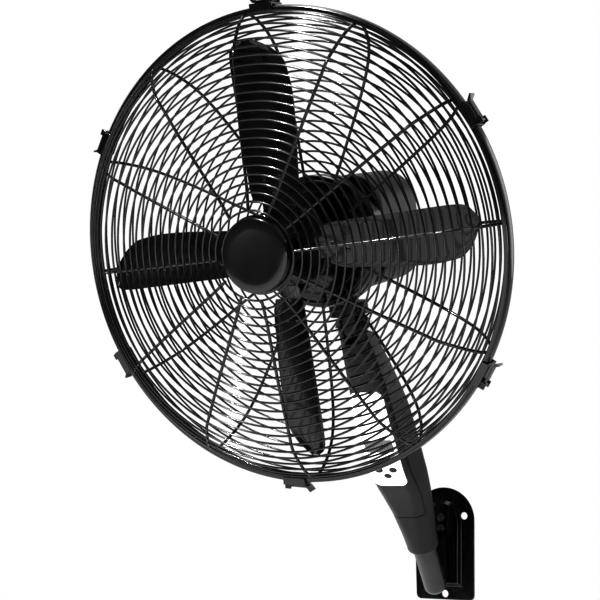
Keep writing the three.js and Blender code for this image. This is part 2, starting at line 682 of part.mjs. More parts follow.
function makeSpindle() {
  const shank = rodAlongZ(SPINDLE_RADIUS, SPINDLE_FOOT - FAN_ABOVE, GEAR_TOP + 2 * SEAT_GAP);
  const head = rodAlongZ(SPINDLE_HEAD_RADIUS, GEAR_TOP + SEAT_GAP, GEAR_TOP + SEAT_GAP + SPINDLE_HEAD_HEIGHT);
  return aboutPan(join(shank, head));
}

// a spur gear about Z with straight-sided teeth, the first tooth or gap on +Y
function spurGear(teeth, bore, startWithGap) {
  const pitch = (2 * Math.PI) / teeth;
  const radius = (GEAR_MODULE * teeth) / 2;
  const [root, tip] = [radius - 1.2 * GEAR_MODULE, radius + 0.8 * GEAR_MODULE];
  const points = [];
  for (let i = 0; i < teeth; i += 1) {
    const middle = Math.PI / 2 + (i + (startWithGap ? 0.5 : 0)) * pitch;
    const corners = [[root, -0.3], [tip, -0.13], [tip, 0.13], [root, 0.3]];
    corners.forEach(([r, share]) => {
      points.push([r * Math.cos(middle + share * pitch), r * Math.sin(middle + share * pitch)]);
    });
  }
  const shape = shapeOf(points);
  const hole = new THREE.Path();
  hole.absarc(0, 0, bore, 0, 2 * Math.PI);
  shape.holes.push(hole);
  const gear = new THREE.ExtrudeGeometry(shape, { depth: GEAR_THICKNESS, bevelEnabled: false, curveSegments: 12 });
  return gear.translate(0, 0, GEAR_BASE);
}

const makeSwingGear = () => aboutPan(spurGear(SWING_GEAR_TEETH, SPINDLE_RADIUS + SEAT_GAP, false));
const makeSwingPinion = () => (
  aboutPinion(spurGear(SWING_PINION_TEETH, SWING_SHAFT_RADIUS + SEAT_GAP, SWING_PINION_TEETH % 2 === 0)));

const SWING_MOTOR_BASE = GEAR_TOP + 1;

function makeSwingMotor() {
  const body = rodAlongZ(SWING_MOTOR_RADIUS, SWING_MOTOR_BASE, SWING_MOTOR_BASE + SWING_MOTOR_HEIGHT);
  const half = SWING_POST_RADIUS + 1;
  const ears = block([-SWING_EAR_REACH, -half, SWING_MOTOR_BASE], [SWING_EAR_REACH, half, SWING_MOTOR_BASE + 2]);
  const shaft = rodAlongZ(SWING_SHAFT_RADIUS, GEAR_BASE, SWING_MOTOR_BASE + 1, SMALL_ROUND);
  return aboutPinion(join(body, ears, shaft));
}

function makeMotorFrontShell() {
  const inner = MOTOR_FACE - MOTOR_WALL;
  const seat = NOSE_FRONT - MOTOR_WALL * 2;
  const bearingSeat = BEARING_RADIUS + SEAT_GAP;
  return turned(closedLoop([
    [SHAFT_RADIUS + 3, NOSE_FRONT], [NOSE_RADIUS, NOSE_FRONT], [NOSE_RADIUS, MOTOR_FACE],
    [DRUM_RADIUS - DRUM_EDGE, MOTOR_FACE], [DRUM_RADIUS - DRUM_EDGE / 3, MOTOR_FACE - DRUM_EDGE / 3],
    [DRUM_RADIUS, MOTOR_FACE - DRUM_EDGE], [DRUM_RADIUS, DRUM_BACK], [DRUM_RADIUS - MOTOR_WALL, DRUM_BACK],
    [DRUM_RADIUS - MOTOR_WALL, inner - DRUM_EDGE / 2], [DRUM_RADIUS - DRUM_EDGE, inner],
    [bearingSeat + MOTOR_WALL, inner], [bearingSeat + MOTOR_WALL, inner - MOTOR_WALL / 2],
    [bearingSeat, inner - MOTOR_WALL / 2], [bearingSeat, seat], [SHAFT_RADIUS + 3, seat],
  ]), LARGE_ROUND);
}

function housingRing(inset, depth, corner = HOUSING_CORNER - inset) {
  const [width, height] = [HOUSING_HALF_WIDTH - inset, HOUSING_HALF_HEIGHT - inset];
  const up = [HOUSING_CENTRE_UP - height, HOUSING_CENTRE_UP + height];
  const segments = 2 * CORNER_SEGMENTS;
  return roundedRectangle([-width, width], up, corner, corner, segments).map(([x, z]) => [x, -depth, z]);
}

function makeMotorRearShell() {
  const front = DRUM_BACK - SEAT_GAP;
  const outside = loft([
    housingRing(0, front), housingRing(0, HOUSING_BACK + HOUSING_EDGE),
    housingRing(HOUSING_EDGE / 4, HOUSING_BACK + HOUSING_EDGE / 2), housingRing(HOUSING_EDGE, HOUSING_BACK),
  ]);
  const inside = loft([
    housingRing(HOUSING_WALL, front - HOUSING_WALL), housingRing(HOUSING_WALL, HOUSING_BACK + HOUSING_EDGE),
    housingRing(HOUSING_WALL + HOUSING_EDGE / 2, HOUSING_BACK + HOUSING_WALL),
  ]);
  const mouth = rodAlongDepth(STATOR_RADIUS + SEAT_GAP, front - 2 * HOUSING_WALL, front + HOUSING_WALL, LARGE_ROUND);
  const bossTop = HOUSING_FLOOR + 1;
  const boss = aboutPan(rodAlongZ(NECK_RADIUS, NECK_TOP_UP + RUNNING_GAP, bossTop));
  const spindleBore = aboutPan(rodAlongZ(SPINDLE_RADIUS + RUNNING_GAP, 2 * NECK_TOP_UP, HOUSING_CENTRE_UP - STATOR_RADIUS));
  const posts = [-1, 1].map((side) => (
    aboutPinion(rodAlongZ(SWING_POST_RADIUS, HOUSING_FLOOR - HOUSING_WALL / 2, SWING_MOTOR_BASE - SEAT_GAP, SMALL_ROUND))
      .translate(side * (SWING_EAR_REACH - SWING_POST_RADIUS), 0, 0)));
  const hollow = cut(outside, inside, mouth);
  return cut(join(hollow, boss, ...posts), spindleBore);
}

const makeStator = () => ringAlongDepth(ROTOR_RADIUS + 0.6, STATOR_RADIUS, STATOR_BACK, STATOR_FRONT, LARGE_ROUND);
const makeWinding = (back) => ringAlongDepth(WINDING_INNER, WINDING_OUTER, back, back + WINDING_LENGTH);

function makeEndShield() {
  const front = STATOR_BACK - SEAT_GAP;
  const back = front - SHIELD_LENGTH;
  const seat = BEARING_RADIUS + SEAT_GAP;
  return turned(closedLoop([
    [STATOR_RADIUS, front], [STATOR_RADIUS, back], [seat + SHIELD_WALL, back],
    [seat + SHIELD_WALL, back - SHIELD_WALL], [seat, back - SHIELD_WALL], [seat, back + SHIELD_WALL],
    [STATOR_RADIUS - SHIELD_WALL, back + SHIELD_WALL], [STATOR_RADIUS - SHIELD_WALL, front],
  ]), LARGE_ROUND);
}

function makeBearing(back) {
  return ringAlongDepth(SHAFT_RADIUS + SEAT_GAP, BEARING_RADIUS, back, back + BEARING_LENGTH);
}

const makeRotor = () => (
  ringAlongDepth(SHAFT_RADIUS + SEAT_GAP, ROTOR_RADIUS, STATOR_BACK + 1, STATOR_FRONT - 1));

// ---------------------------------------------------------------- wheel
const bladeCentre = (t) => BLADE_DEPTH + t * Math.tan(BLADE_PITCH);

// a thin twisted plate over a grid of radii and widths; offset moves it along the fan axis
function bladePlate(rows, sheet, offset, camber, divisions) {
  const rings = rows.map(([radius, leading, trailing]) => {
    const halfChord = (trailing - leading) / 2;
    const middle = (trailing + leading) / 2;
    const across = (side) => Array.from({ length: divisions + 1 }, (_, i) => {
      const share = -1 + (2 * i) / divisions;
      const t = middle + share * halfChord;
      const bow = -camber * (1 - share * share);
      return [radius, -(bladeCentre(t) + bow + offset + side * (sheet / 2)), t];
    });
    return [...across(1), ...across(-1).reverse()];
  });
  return plateThroughRings(rings, divisions);
}

// closes a plate whose rings run over the front face and back under it
function plateThroughRings(rings, divisions) {
  const count = rings[0].length;
  const index = [];
  for (let i = 0; i + 1 < rings.length; i += 1) {
    for (let j = 0; j < count; j += 1) {
      const [a, b] = [i * count + j, i * count + ((j + 1) % count)];
      index.push(a, b, b + count, a, b + count, a + count);
    }
  }
  [0, (rings.length - 1) * count].forEach((start, end) => {
    for (let j = 0; j < divisions; j += 1) {
      const quad = [start + j, start + j + 1, start + count - 2 - j, start + count - 1 - j];
      const faces = [[quad[0], quad[1], quad[2]], [quad[0], quad[2], quad[3]]];
      faces.forEach(([a, b, c]) => index.push(...(end ? [a, b, c] : [a, c, b])));
    }
  });
  const geometry = new THREE.BufferGeometry();
  geometry.setAttribute('position', new THREE.Float32BufferAttribute(rings.flat(2), 3));
  geometry.setIndex(index);
  return geometry;
}

const turnAboutAxis = (geometry, angle) => geometry.rotateY(-angle);
const makeBlade = () => bladePlate(BLADE_OUTLINE, BLADE_SHEET, 0, BLADE_CAMBER, 6);

function makeWheelHub() {
  const boss = ringAlongDepth(SHAFT_RADIUS + SEAT_GAP, HUB_RADIUS, HUB_BACK, HUB_FRONT);
  const disc = ringAlongDepth(HUB_RADIUS - 1, HUB_DISC_RADIUS, HUB_DISC_DEPTH - HUB_DISC_SHEET, HUB_DISC_DEPTH);
  const behindBlade = -(BLADE_SHEET + ARM_PLATE_SHEET) / 2 / Math.cos(BLADE_PITCH) - SEAT_GAP - BLADE_CAMBER;
  const rows = [
    [ARM_PLATE_INNER, -ARM_PLATE_HALF_WIDTH, ARM_PLATE_HALF_WIDTH],
    [ARM_PLATE_OUTER, -ARM_PLATE_HALF_WIDTH, ARM_PLATE_HALF_WIDTH],
  ];
  const arms = Array.from({ length: BLADE_COUNT }, (_, i) => (
    turnAboutAxis(bladePlate(rows, ARM_PLATE_SHEET, behindBlade, 0, 2), (2 * Math.PI * i) / BLADE_COUNT)));
  return join(boss, disc, ...arms);
}

function makeSpinnerNut() {
  const back = HUB_FRONT + SEAT_GAP;
  const front = back + SPINNER_LENGTH;
  const bore = SHAFT_RADIUS + SEAT_GAP;
  return turned([
    [0, SHAFT_FRONT + SEAT_GAP], [bore, SHAFT_FRONT + SEAT_GAP], [bore, back], [SPINNER_RADIUS, back],
    [SPINNER_RADIUS, front - 5], [SPINNER_RADIUS - 4, front - 1], [0, front],
  ]);
}

// ---------------------------------------------------------------- guards, band and cap
const BAND_INNER = RIM_RADIUS - RIM_SHEET;
const LOOP_RADIUS = BAND_INNER - LOOP_CLEARANCE;

// A guard is a sheet of cells over rows of stations from the middle to the rim and columns round the axis.
// A full cell is wire; an empty one is open. Spokes are full in every row, rings in every column.
function makeGuard(profile, ringRadii, side, plateOuter) {
  const path = [...profile, [GUARD_SIDE_RADIUS, side * 2 * LOOP_DEPTH]];
  const depthAt = (radius) => readTable(profile, radius)[1];
  const half = RING_WIDTH / 2;
  const rows = [];
  const station = (radius, depth, wire) => rows.push({ radius, depth, wire });
  if (plateOuter) {
    station(path[0][0], path[0][1], true);
    station(plateOuter, depthAt(plateOuter), false);
  }
  const bends = profile.slice(1, -1).map(([radius]) => radius);
  const ringEdges = ringRadii.map((radius) => [radius - half, radius + half]);
  const free = bends.filter((radius) => (
    (!plateOuter || radius > plateOuter) && ringEdges.every(([low, high]) => radius < low - half || radius > high + half)));
  const marks = [
    ...ringEdges.flatMap(([low, high]) => [[low, true], [high, false]]), ...free.map((radius) => [radius, false])];
  marks.sort((a, b) => a[0] - b[0]).forEach(([radius, wire]) => station(radius, depthAt(radius), wire));
  station(...profile.at(-1), false);
  station(...path.at(-1), false);
  station(LOOP_RADIUS - half, side * LOOP_DEPTH, true);
  station(LOOP_RADIUS + half, side * LOOP_DEPTH, false);

  const normals = rows.map((row, i) => {
    const before = rows[Math.max(i - 1, 0)];
    const after = rows[Math.min(i + 1, rows.length - 1)];
    const along = new THREE.Vector2(after.radius - before.radius, after.depth - before.depth).normalize();
    return new THREE.Vector2(-along.y, along.x);
  });
  const columnsPerSpoke = ARCS_PER_SPOKE + 1;
  const columns = SPOKE_COUNT * columnsPerSpoke;
  const columnAngle = (row, column) => {
    const spoke = Math.floor(column / columnsPerSpoke);
    const place = column % columnsPerSpoke;
    const spacing = (2 * Math.PI) / SPOKE_COUNT;
    const halfSpoke = Math.asin(SPOKE_WIDTH / 2 / row.radius);
    if (place === 0) return spoke * spacing - halfSpoke;
    const arc = (spacing - 2 * halfSpoke) / ARCS_PER_SPOKE;
    return spoke * spacing + halfSpoke + (place - 1) * arc;
  };
  const vertices = [];
  [1, -1].forEach((face) => rows.forEach((row, i) => {
    for (let column = 0; column < columns; column += 1) {
      const angle = columnAngle(row, column);
      const radius = row.radius + face * normals[i].x * (WIRE_THICKNESS / 2);
      const depth = row.depth + face * normals[i].y * (WIRE_THICKNESS / 2);
      vertices.push(radius * Math.cos(angle), -depth, radius * Math.sin(angle));
    }
  }));
  const layer = rows.length * columns;
  const vertex = (face, i, column) => (face > 0 ? 0 : layer) + i * columns + (column % columns);
  const isFull = (i, column) => {
    if (i < 0 || i >= rows.length - 1) return false;
    const place = ((column % columns) + columns) % columns;
    return rows[i].wire || place % columnsPerSpoke === 0;
  };
  const index = [];
  const quad = (a, b, c, d) => index.push(a, b, c, a, c, d);
  for (let i = 0; i < rows.length - 1; i += 1) {
    for (let column = 0; column < columns; column += 1) {
      if (!isFull(i, column)) continue;
      const top = [vertex(1, i, column), vertex(1, i + 1, column), vertex(1, i + 1, column + 1), vertex(1, i, column + 1)];
      const under = top.map((corner) => corner + layer);
      quad(...top);
      quad(under[3], under[2], under[1], under[0]);
      if (!isFull(i - 1, column)) quad(top[0], top[3], under[3], under[0]);
      if (!isFull(i + 1, column)) quad(top[2], top[1], under[1], under[2]);
      if (!isFull(i, column - 1)) quad(top[1], top[0], under[0], under[1]);
      if (!isFull(i, column + 1)) quad(top[3], top[2], under[2], under[3]);
    }
  }
  const geometry = new THREE.BufferGeometry();
  geometry.setAttribute('position', new THREE.Float32BufferAttribute(vertices, 3));
  geometry.setIndex(index);
  return geometry;
}

function makeRimBand() {
  const [outer, half, lip] = [RIM_RADIUS, RIM_HALF_WIDTH, RIM_RADIUS - RIM_LIP];
  const inner = BAND_INNER;
  const wall = half - RIM_SHEET;
  return turned(closedLoop([
    [outer, -half + RIM_CHAMFER], [outer, half - RIM_CHAMFER], [outer - RIM_CHAMFER, half], [lip, half],
    [lip, wall], [inner, wall], [inner, -wall], [lip, -wall], [lip, -half], [outer - RIM_CHAMFER, -half],
  ]), RIM_SEGMENTS);
}

function makeCentreCap() {
  const seat = FRONT_PROFILE[0][1] + WIRE_THICKNESS / 2 + SEAT_GAP;
  const inside = CAP_FACE - CAP_WALL;
  return turned([
    [0, CAP_FACE], [CAP_RADIUS - CAP_EDGE, CAP_FACE], [CAP_RADIUS, CAP_FACE - CAP_EDGE], [CAP_RADIUS, seat],
    [CAP_RADIUS - CAP_WALL, seat], [CAP_RADIUS - CAP_WALL, inside], [0, inside],
  ], LARGE_ROUND);
}

function makeGuardNut() {
  const back = REAR_PROFILE[0][1] + WIRE_THICKNESS / 2 + SEAT_GAP;
  return ringAlongDepth(NOSE_RADIUS + SEAT_GAP, GUARD_NUT_RADIUS, back, back + GUARD_NUT_LENGTH, LARGE_ROUND);
}

// ---------------------------------------------------------------- rim clips: radius along X, turning along Z
const CLIP_INNER = RIM_RADIUS + SEAT_GAP;
const CLIP_OUTER = CLIP_INNER + CLIP_SHEET;
const LEVER_PIVOT_RADIUS = CLIP_OUTER + 2 * LEVER_PIN_RADIUS;
const LEVER_PIVOT_ALONG = -CLIP_LENGTH / 2 + 3;

function makeClip() {
  const half = CLIP_LENGTH / 2;
  const face = RIM_HALF_WIDTH + SEAT_GAP;
  const saddle = block([CLIP_INNER, -face - CLIP_SHEET, -half], [CLIP_OUTER, face + CLIP_SHEET, half]);
  const hooks = [-1, 1].map((side) => {
    const [near, far] = [side * face, side * (face + CLIP_SHEET)];
    return block([RIM_RADIUS - CLIP_HOOK, Math.min(near, far), -half], [CLIP_OUTER, Math.max(near, far), half]);
  });
  const ears = [-1, 1].map((side) => {
    const near = side * (LEVER_HALF_WIDTH + RUNNING_GAP);
    const far = near + side * CLIP_EAR;
    return block(
      [CLIP_OUTER - 1, Math.min(near, far), LEVER_PIVOT_ALONG - 3],
      [LEVER_PIVOT_RADIUS + 2.4, Math.max(near, far), LEVER_PIVOT_ALONG + 3]);
  });
  const pinHole = rodAlongDepth(LEVER_PIN_RADIUS + RUNNING_GAP, -face, face, 8)
    .translate(LEVER_PIVOT_RADIUS, 0, LEVER_PIVOT_ALONG);
  return cut(join(saddle, ...hooks, ...ears), pinHole);
}

function makeClipLever() {
  const [x, z] = [LEVER_PIVOT_RADIUS, LEVER_PIVOT_ALONG];
  const half = LEVER_HALF_WIDTH;
  const knuckle = rodAlongDepth(LEVER_PIN_RADIUS * 1.6, -half, half, 12).translate(x, 0, z);
  const pinEnd = half + RUNNING_GAP + CLIP_EAR;
  const pin = rodAlongDepth(LEVER_PIN_RADIUS, -pinEnd, pinEnd, 8).translate(x, 0, z);
  const bar = block([x - LEVER_SHEET / 2, -half, z], [x + LEVER_SHEET / 2, half, z + LEVER_LENGTH]);
  const tab = block([0, -half, -LEVER_SHEET / 2], [LEVER_TAB, half, LEVER_SHEET / 2]).rotateY(degrees(-40));
  tab.translate(x, 0, z + LEVER_LENGTH - LEVER_SHEET / 2);
  return join(knuckle, pin, bar, tab);
}

// ---------------------------------------------------------------- assembly
const fan = new THREE.Group();
const wall = new THREE.Group();
wall.position.z = -MOUNT_HEIGHT;
fan.add(wall);

wall.add(named('wall_plate', makeWallPlate(), blackEnamel));
wall.add(named('plate_bracket', makePlateBracket(), blackEnamel));
BRACKET_BOLT_HEIGHTS.forEach((height, i) => {
  const bolt = named(`bracket_bolt_${i + 1}`, makeBracketBolt(), zincSteel);
  bolt.position.z = height;
  wall.add(bolt);
});

const arm = new THREE.Group();
arm.position.y = -ARM_AXIS_STANDOFF;
arm.rotation.x = ARM_LEAN;
wall.add(arm);
arm.add(named('foot_tube', makeFootTube(), tubeBlack));
arm.add(named('arm_rear_shell', makeArmRearShell(), satinBlack));
arm.add(named('arm_front_shell', makeArmFrontShell(), satinBlack));
arm.add(named('control_panel', makeControlPanel(), silverPanel));
arm.add(named('display_window', makeDisplayWindow(), darkLens));
arm.add(named('circuit_board', makeCircuitBoard(), boardGreen));
BUTTON_PLACES.forEach((place, i) => arm.add(named(`button_${i + 1}`, makeButton(place), buttonBlack)));
SHELL_SCREW_PLACES.forEach((along, i) => (
  arm.add(named(`shell_screw_${i + 1}`, makeShellScrew(along), zincSteel))));

const tilting = new THREE.Group();
tilting.position.set(0, -TILT_FRONT, TILT_ALONG);
arm.add(tilting);
tilting.add(named('tilt_bolt', makeTiltBolt(), zincSteel));
tilting.add(named('tilt_nut', makeTiltNut(), zincSteel));

const neck = new THREE.Group();
neck.rotation.x = HEAD_TILT - ARM_LEAN;
tilting.add(neck);
neck.add(named('neck', makeNeck(), satinBlack));

const head = new THREE.Group();
head.position.set(0, -FAN_FORWARD, FAN_ABOVE);
neck.add(head);
const headPieces = [
  ['pan_spindle', makeSpindle(), brightSteel],
  ['swing_gear', makeSwingGear(), gearNylon],
  ['swing_pinion', makeSwingPinion(), gearNylon],
  ['swing_motor', makeSwingMotor(), zincSteel],
  ['motor_front_shell', makeMotorFrontShell(), blackEnamel],
  ['motor_rear_shell', makeMotorRearShell(), satinBlack],
  ['stator', makeStator(), laminationSteel],
  ['front_winding', makeWinding(STATOR_FRONT + SEAT_GAP), copperWire],
  ['rear_winding', makeWinding(STATOR_BACK - SEAT_GAP - WINDING_LENGTH), copperWire],
  ['motor_end_shield', makeEndShield(), zincSteel],
  ['front_bearing', makeBearing(MOTOR_FACE - MOTOR_WALL - MOTOR_WALL / 2), brightSteel],
  ['rear_bearing', makeBearing(STATOR_BACK - SEAT_GAP - SHIELD_LENGTH - SHIELD_WALL), brightSteel],
  ['rotor', makeRotor(), laminationSteel],
  ['motor_shaft', rodAlongDepth(SHAFT_RADIUS, SHAFT_BACK, SHAFT_FRONT), brightSteel],
  ['wheel_hub', makeWheelHub(), blackEnamel],
  ['spinner_nut', makeSpinnerNut(), satinBlack],
  ['rear_guard', makeGuard(REAR_PROFILE, REAR_RING_RADII, -1, REAR_PLATE_OUTER), blackEnamel],
  ['guard_nut', makeGuardNut(), satinBlack],
  ['front_guard', makeGuard(FRONT_PROFILE, FRONT_RING_RADII, 1, 0), blackEnamel],
  ['centre_cap', makeCentreCap(), blackEnamel],
  ['rim_band', makeRimBand(), blackEnamel],
];
headPieces.forEach(([name, geometry, material]) => head.add(named(name, geometry, material)));

for (let i = 0; i < BLADE_COUNT; i += 1) {
  const blade = named(`blade_${i + 1}`, makeBlade(), blackEnamel);
  blade.rotation.y = -(2 * Math.PI * i) / BLADE_COUNT;
  head.add(blade);
}
for (let i = 0; i < CLIP_COUNT; i += 1) {
  const place = new THREE.Group();
  place.rotation.y = -degrees(CLIP_PHASE + (360 * i) / CLIP_COUNT);
  place.add(named(`clip_${i + 1}`, makeClip(), blackEnamel));
  place.add(named(`clip_lever_${i + 1}`, makeClipLever(), blackEnamel));
  head.add(place);
}

export default fan;
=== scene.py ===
import json
import math

import bmesh
import bpy
from mathutils import Matrix, Quaternion, Vector

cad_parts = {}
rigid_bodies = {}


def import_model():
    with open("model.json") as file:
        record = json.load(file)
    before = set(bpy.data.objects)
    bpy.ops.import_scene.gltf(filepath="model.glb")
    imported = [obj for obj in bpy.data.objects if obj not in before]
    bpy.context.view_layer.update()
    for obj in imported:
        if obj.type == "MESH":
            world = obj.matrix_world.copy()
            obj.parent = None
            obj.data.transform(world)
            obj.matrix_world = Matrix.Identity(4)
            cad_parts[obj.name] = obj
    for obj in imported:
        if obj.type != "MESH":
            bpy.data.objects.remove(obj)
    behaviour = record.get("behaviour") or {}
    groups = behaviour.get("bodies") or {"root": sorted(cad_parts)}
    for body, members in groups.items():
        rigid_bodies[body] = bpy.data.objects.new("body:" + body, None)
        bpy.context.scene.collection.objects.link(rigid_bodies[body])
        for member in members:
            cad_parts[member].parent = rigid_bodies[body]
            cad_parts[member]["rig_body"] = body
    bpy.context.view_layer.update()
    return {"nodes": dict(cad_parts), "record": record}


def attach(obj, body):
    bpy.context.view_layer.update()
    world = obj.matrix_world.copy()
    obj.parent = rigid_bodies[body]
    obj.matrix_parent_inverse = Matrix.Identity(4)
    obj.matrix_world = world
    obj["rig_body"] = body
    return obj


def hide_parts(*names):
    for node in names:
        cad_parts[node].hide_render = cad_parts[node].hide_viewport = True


MM = 0.001

# The camera, fitted to the photo's rim, rings and wall plate
CAMERA_PLACE = (0.5605, -1.3229, -0.0167)
CAMERA_LOOK = (-0.49276, 0.85212, 0.17629)
CAMERA_ROLL = math.radians(0.386)
CAMERA_LENS = 69.37
FLOOR_HEIGHT = -0.42
FLOOR_REACH = 2.2
FLOOR_SIDES = 96
DISPLAY_GAMMA = 0.72

# Local places: x to the right, y backwards, z up or along the arm
FAN_CENTRE = (0, -0.3876914, 0.2279718)
FAN_BACK = (0, 0.95345417, 0.30153796)
FAN_UP = (0, -0.30153796, 0.95345417)
ARM_FOOT = (0, -0.0181, -0.1244)
ARM_BACK = (0, 0.82104959, 0.57085688)
ARM_ALONG = (0, -0.57085688, 0.82104959)

# Guards, as radius and depth in front of the wheel's middle, in mm
WIRE = 1.05
SPOKE_WIRE = 1.5
SPOKES = 12
FRONT_RINGS = 24
REAR_RINGS = 20
FRONT_GUARD = [(42, 54), (61.4, 50.7), (88.7, 48.7), (116.4, 46.6), (144.3, 44.1), (171.5, 40.5),
               (187.7, 38.4), (202, 30.5), (214.5, 21), (221.5, 13)]
REAR_GUARD = [(52, -66), (76, -65.2), (100, -64), (125, -62.2), (150, -59.5), (175, -54.5),
              (196, -46), (211, -33), (221.5, -17)]
EDGE_WIRE = (225.8, 3.2)
PROFILE_STEPS = 6
RING_SIDES = 144

RIM_RADIUS = 230
RIM_HALF_WIDTH = 8
RIM_INSIDE = 224.6
CAP_RADIUS = 35.6
CAP_FACE = 55.1

BLADE_COUNT = 4
BLADE_PITCH = math.radians(21)
BLADE_SHEET = 1.5
BLADE_ROOT = 48
BLADE_TIP = 203
BLADE_CAMBER = 2.5
BLADE_FORWARD = 2
BLADE_ANGLE_STEP = 7.5
BLADE_OUTLINE = [(48, -19, 19), (60, -24, 20.5), (87, -26.5, 21), (115, -29, 21.3), (145, -30.3, 21.7),
                 (175, -27.5, 22), (189, -19, 21.5), (197, -9, 18.5), (203, 0, 11)]

# Arm sections: along, half width, front, rear, front corner, rear corner, in mm
ARM_SECTIONS = [(79, 18.3, 18.6, 18, 17.5, 17.5), (130, 21, 19.8, 25, 14, 16),
                (154, 23.5, 22.8, 26.3, 12, 17), (180, 25, 29, 26.3, 11, 17),
                (202, 25, 33.2, 27.2, 11, 17), (250, 24.5, 33.2, 28.2, 11, 17),
                (300, 22, 29.5, 20, 11, 14), (340, 18.5, 26, 9, 9, 9), (369, 16, 23.5, 3.5, 7, 7),
                (383, 16, 23.5, 3.5, 7, 7)]

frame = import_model()
nodes = frame["nodes"]


def axes(origin, back, up):
    """Matrix from local metres to the row frame."""
    right = Vector(back).cross(Vector(up))
    m = Matrix.Identity(4)
    for row in range(3):
        m[row][0], m[row][1], m[row][2], m[row][3] = right[row], back[row], up[row], origin[row]
    return m


HEAD = axes(FAN_CENTRE, FAN_BACK, FAN_UP)
ARM = axes(ARM_FOOT, ARM_BACK, ARM_ALONG)
WALL = Matrix.Translation((0, 0, ARM_FOOT[2]))


def turns(count):
    """Angles at even steps round a full turn."""
    return [2 * math.pi * i / count for i in range(count)]


# ---------------------------------------------------------------- materials
class Nodes:
    """A material's node tree with short ways to add and join nodes."""

    def __init__(self, name):
        self.material = bpy.data.materials.new(name)
        self.material.use_nodes = True
        self.tree = self.material.node_tree
        self.shader = self.tree.nodes["Principled BSDF"]
        self.place = self.add("ShaderNodeTexCoord").outputs["Object"]

    def add(self, kind, **values):
        node = self.tree.nodes.new(kind)
        for key, value in values.items():
            setattr(node, key, value)
        return node

    def join(self, out, into):
        self.tree.links.new(out, into)

    def noise(self, scale, detail=3.0, rough=0.5, where=None):
        node = self.add("ShaderNodeTexNoise")
        node.inputs["Scale"].default_value = scale
        node.inputs["Detail"].default_value = detail
        node.inputs["Roughness"].default_value = rough
        self.join(where or self.place, node.inputs["Vector"])
        return node.outputs["Fac"]

    def stretched(self, scale):
        node = self.add("ShaderNodeMapping")
        node.inputs["Scale"].default_value = scale
        self.join(self.place, node.inputs["Vector"])
        return node.outputs["Vector"]

    def cells(self, scale, where=None):
        node = self.add("ShaderNodeTexVoronoi")
        node.inputs["Scale"].default_value = scale
        self.join(where or self.place, node.inputs["Vector"])
        return node.outputs["Distance"]

    def spread(self, value, low, high, out_low=0.0, out_high=1.0):
        node = self.add("ShaderNodeMapRange")
        numbers = {"From Min": low, "From Max": high, "To Min": out_low, "To Max": out_high}
        for key, number in numbers.items():
            node.inputs[key].default_value = number
        self.join(value, node.inputs["Value"])
        return node.outputs["Result"]

    def times(self, a, b, operation="MULTIPLY"):
        node = self.add("ShaderNodeMath", operation=operation)
        self.join(a, node.inputs[0])
        if isinstance(b, float):
            node.inputs[1].default_value = b
        else:
            self.join(b, node.inputs[1])
        return node.outputs["Value"]

    def mix(self, share, a, b):
        node = self.add("ShaderNodeMix", data_type="RGBA")
        self.join(share, node.inputs[0])
        for value, socket in ((a, node.inputs[6]), (b, node.inputs[7])):
            if isinstance(value, tuple):
                socket.default_value = (*value, 1.0)
            else:
                self.join(value, socket)
        return node.outputs[2]

    def bump(self, height, distance, strength=1.0, below=None):
        node = self.add("ShaderNodeBump")
        node.inputs["Strength"].default_value = strength
        node.inputs["Distance"].default_value = distance
        self.join(height, node.inputs["Height"])
        if below is not None:
            self.join(below, node.inputs["Normal"])
        return node.outputs["Normal"]

    def upward(self):
        """How far a surface faces up, for the dust that settles on it."""
        split = self.add("ShaderNodeSeparateXYZ")
        self.join(self.add("ShaderNodeNewGeometry").outputs["Normal"], split.inputs[0])
        return self.spread(split.outputs["Z"], 0.45, 1.0)

    def set(self, **values):
        for key, value in values.items():
            socket = self.shader.inputs[key.replace("_", " ")]
            if isinstance(value, bpy.types.NodeSocket):
                self.join(value, socket)
            else:
                socket.default_value = (*value, 1.0) if isinstance(value, tuple) else value


DUST = (0.28, 0.27, 0.25)


def coated(name, colour, lighter, rough, grain, grain_height,
           coat=0.0, dust=0.03, metallic=0.0, sheen=0.22):
    """Paint or moulded plastic: a grained surface, handling marks in the gloss and a little dust on top."""
    n = Nodes(name)
    tone = n.mix(n.spread(n.noise(38, 4), 0.35, 0.7), colour, lighter)
    dusty = n.times(n.times(n.upward(), n.spread(n.noise(160, 5, 0.65), 0.42, 0.75)), dust)
    n.set(Base_Color=n.mix(dusty, tone, DUST))
    marks = n.spread(n.noise(22, 6, 0.7), 0.3, 0.75, rough * 0.85, rough * 1.25)
    n.set(Roughness=n.times(marks, n.times(dusty, 0.9), "ADD"))
    fine = n.bump(n.noise(grain, 2), grain_height)
    n.set(Normal=n.bump(n.noise(grain * 0.08, 2), grain_height * 1.5, 0.3, fine))
    n.set(Coat_Weight=coat, Coat_Roughness=0.06, Metallic=metallic, Specular_IOR_Level=sheen)
    return n.material


def metal(name, colour, darker, rough, stretch, spots=0.0):
    """Bare or plated metal with a drawn grain and uneven tarnish."""
    n = Nodes(name)
    grain = n.noise(900, 3, 0.6, n.stretched(stretch))
    tarnish = n.spread(n.noise(70, 5, 0.6), 0.4, 0.72)
    tone = n.mix(tarnish, colour, darker)
    if spots:
        tone = n.mix(n.spread(n.cells(260), 0.25, 0.6, 0.0, spots), tone, darker)
    n.set(Base_Color=tone, Metallic=1.0)
    n.set(Roughness=n.spread(grain, 0.3, 0.7, rough * 0.75, rough * 1.3))
    n.set(Normal=n.bump(grain, 0.00002, 0.6))
    return n.material


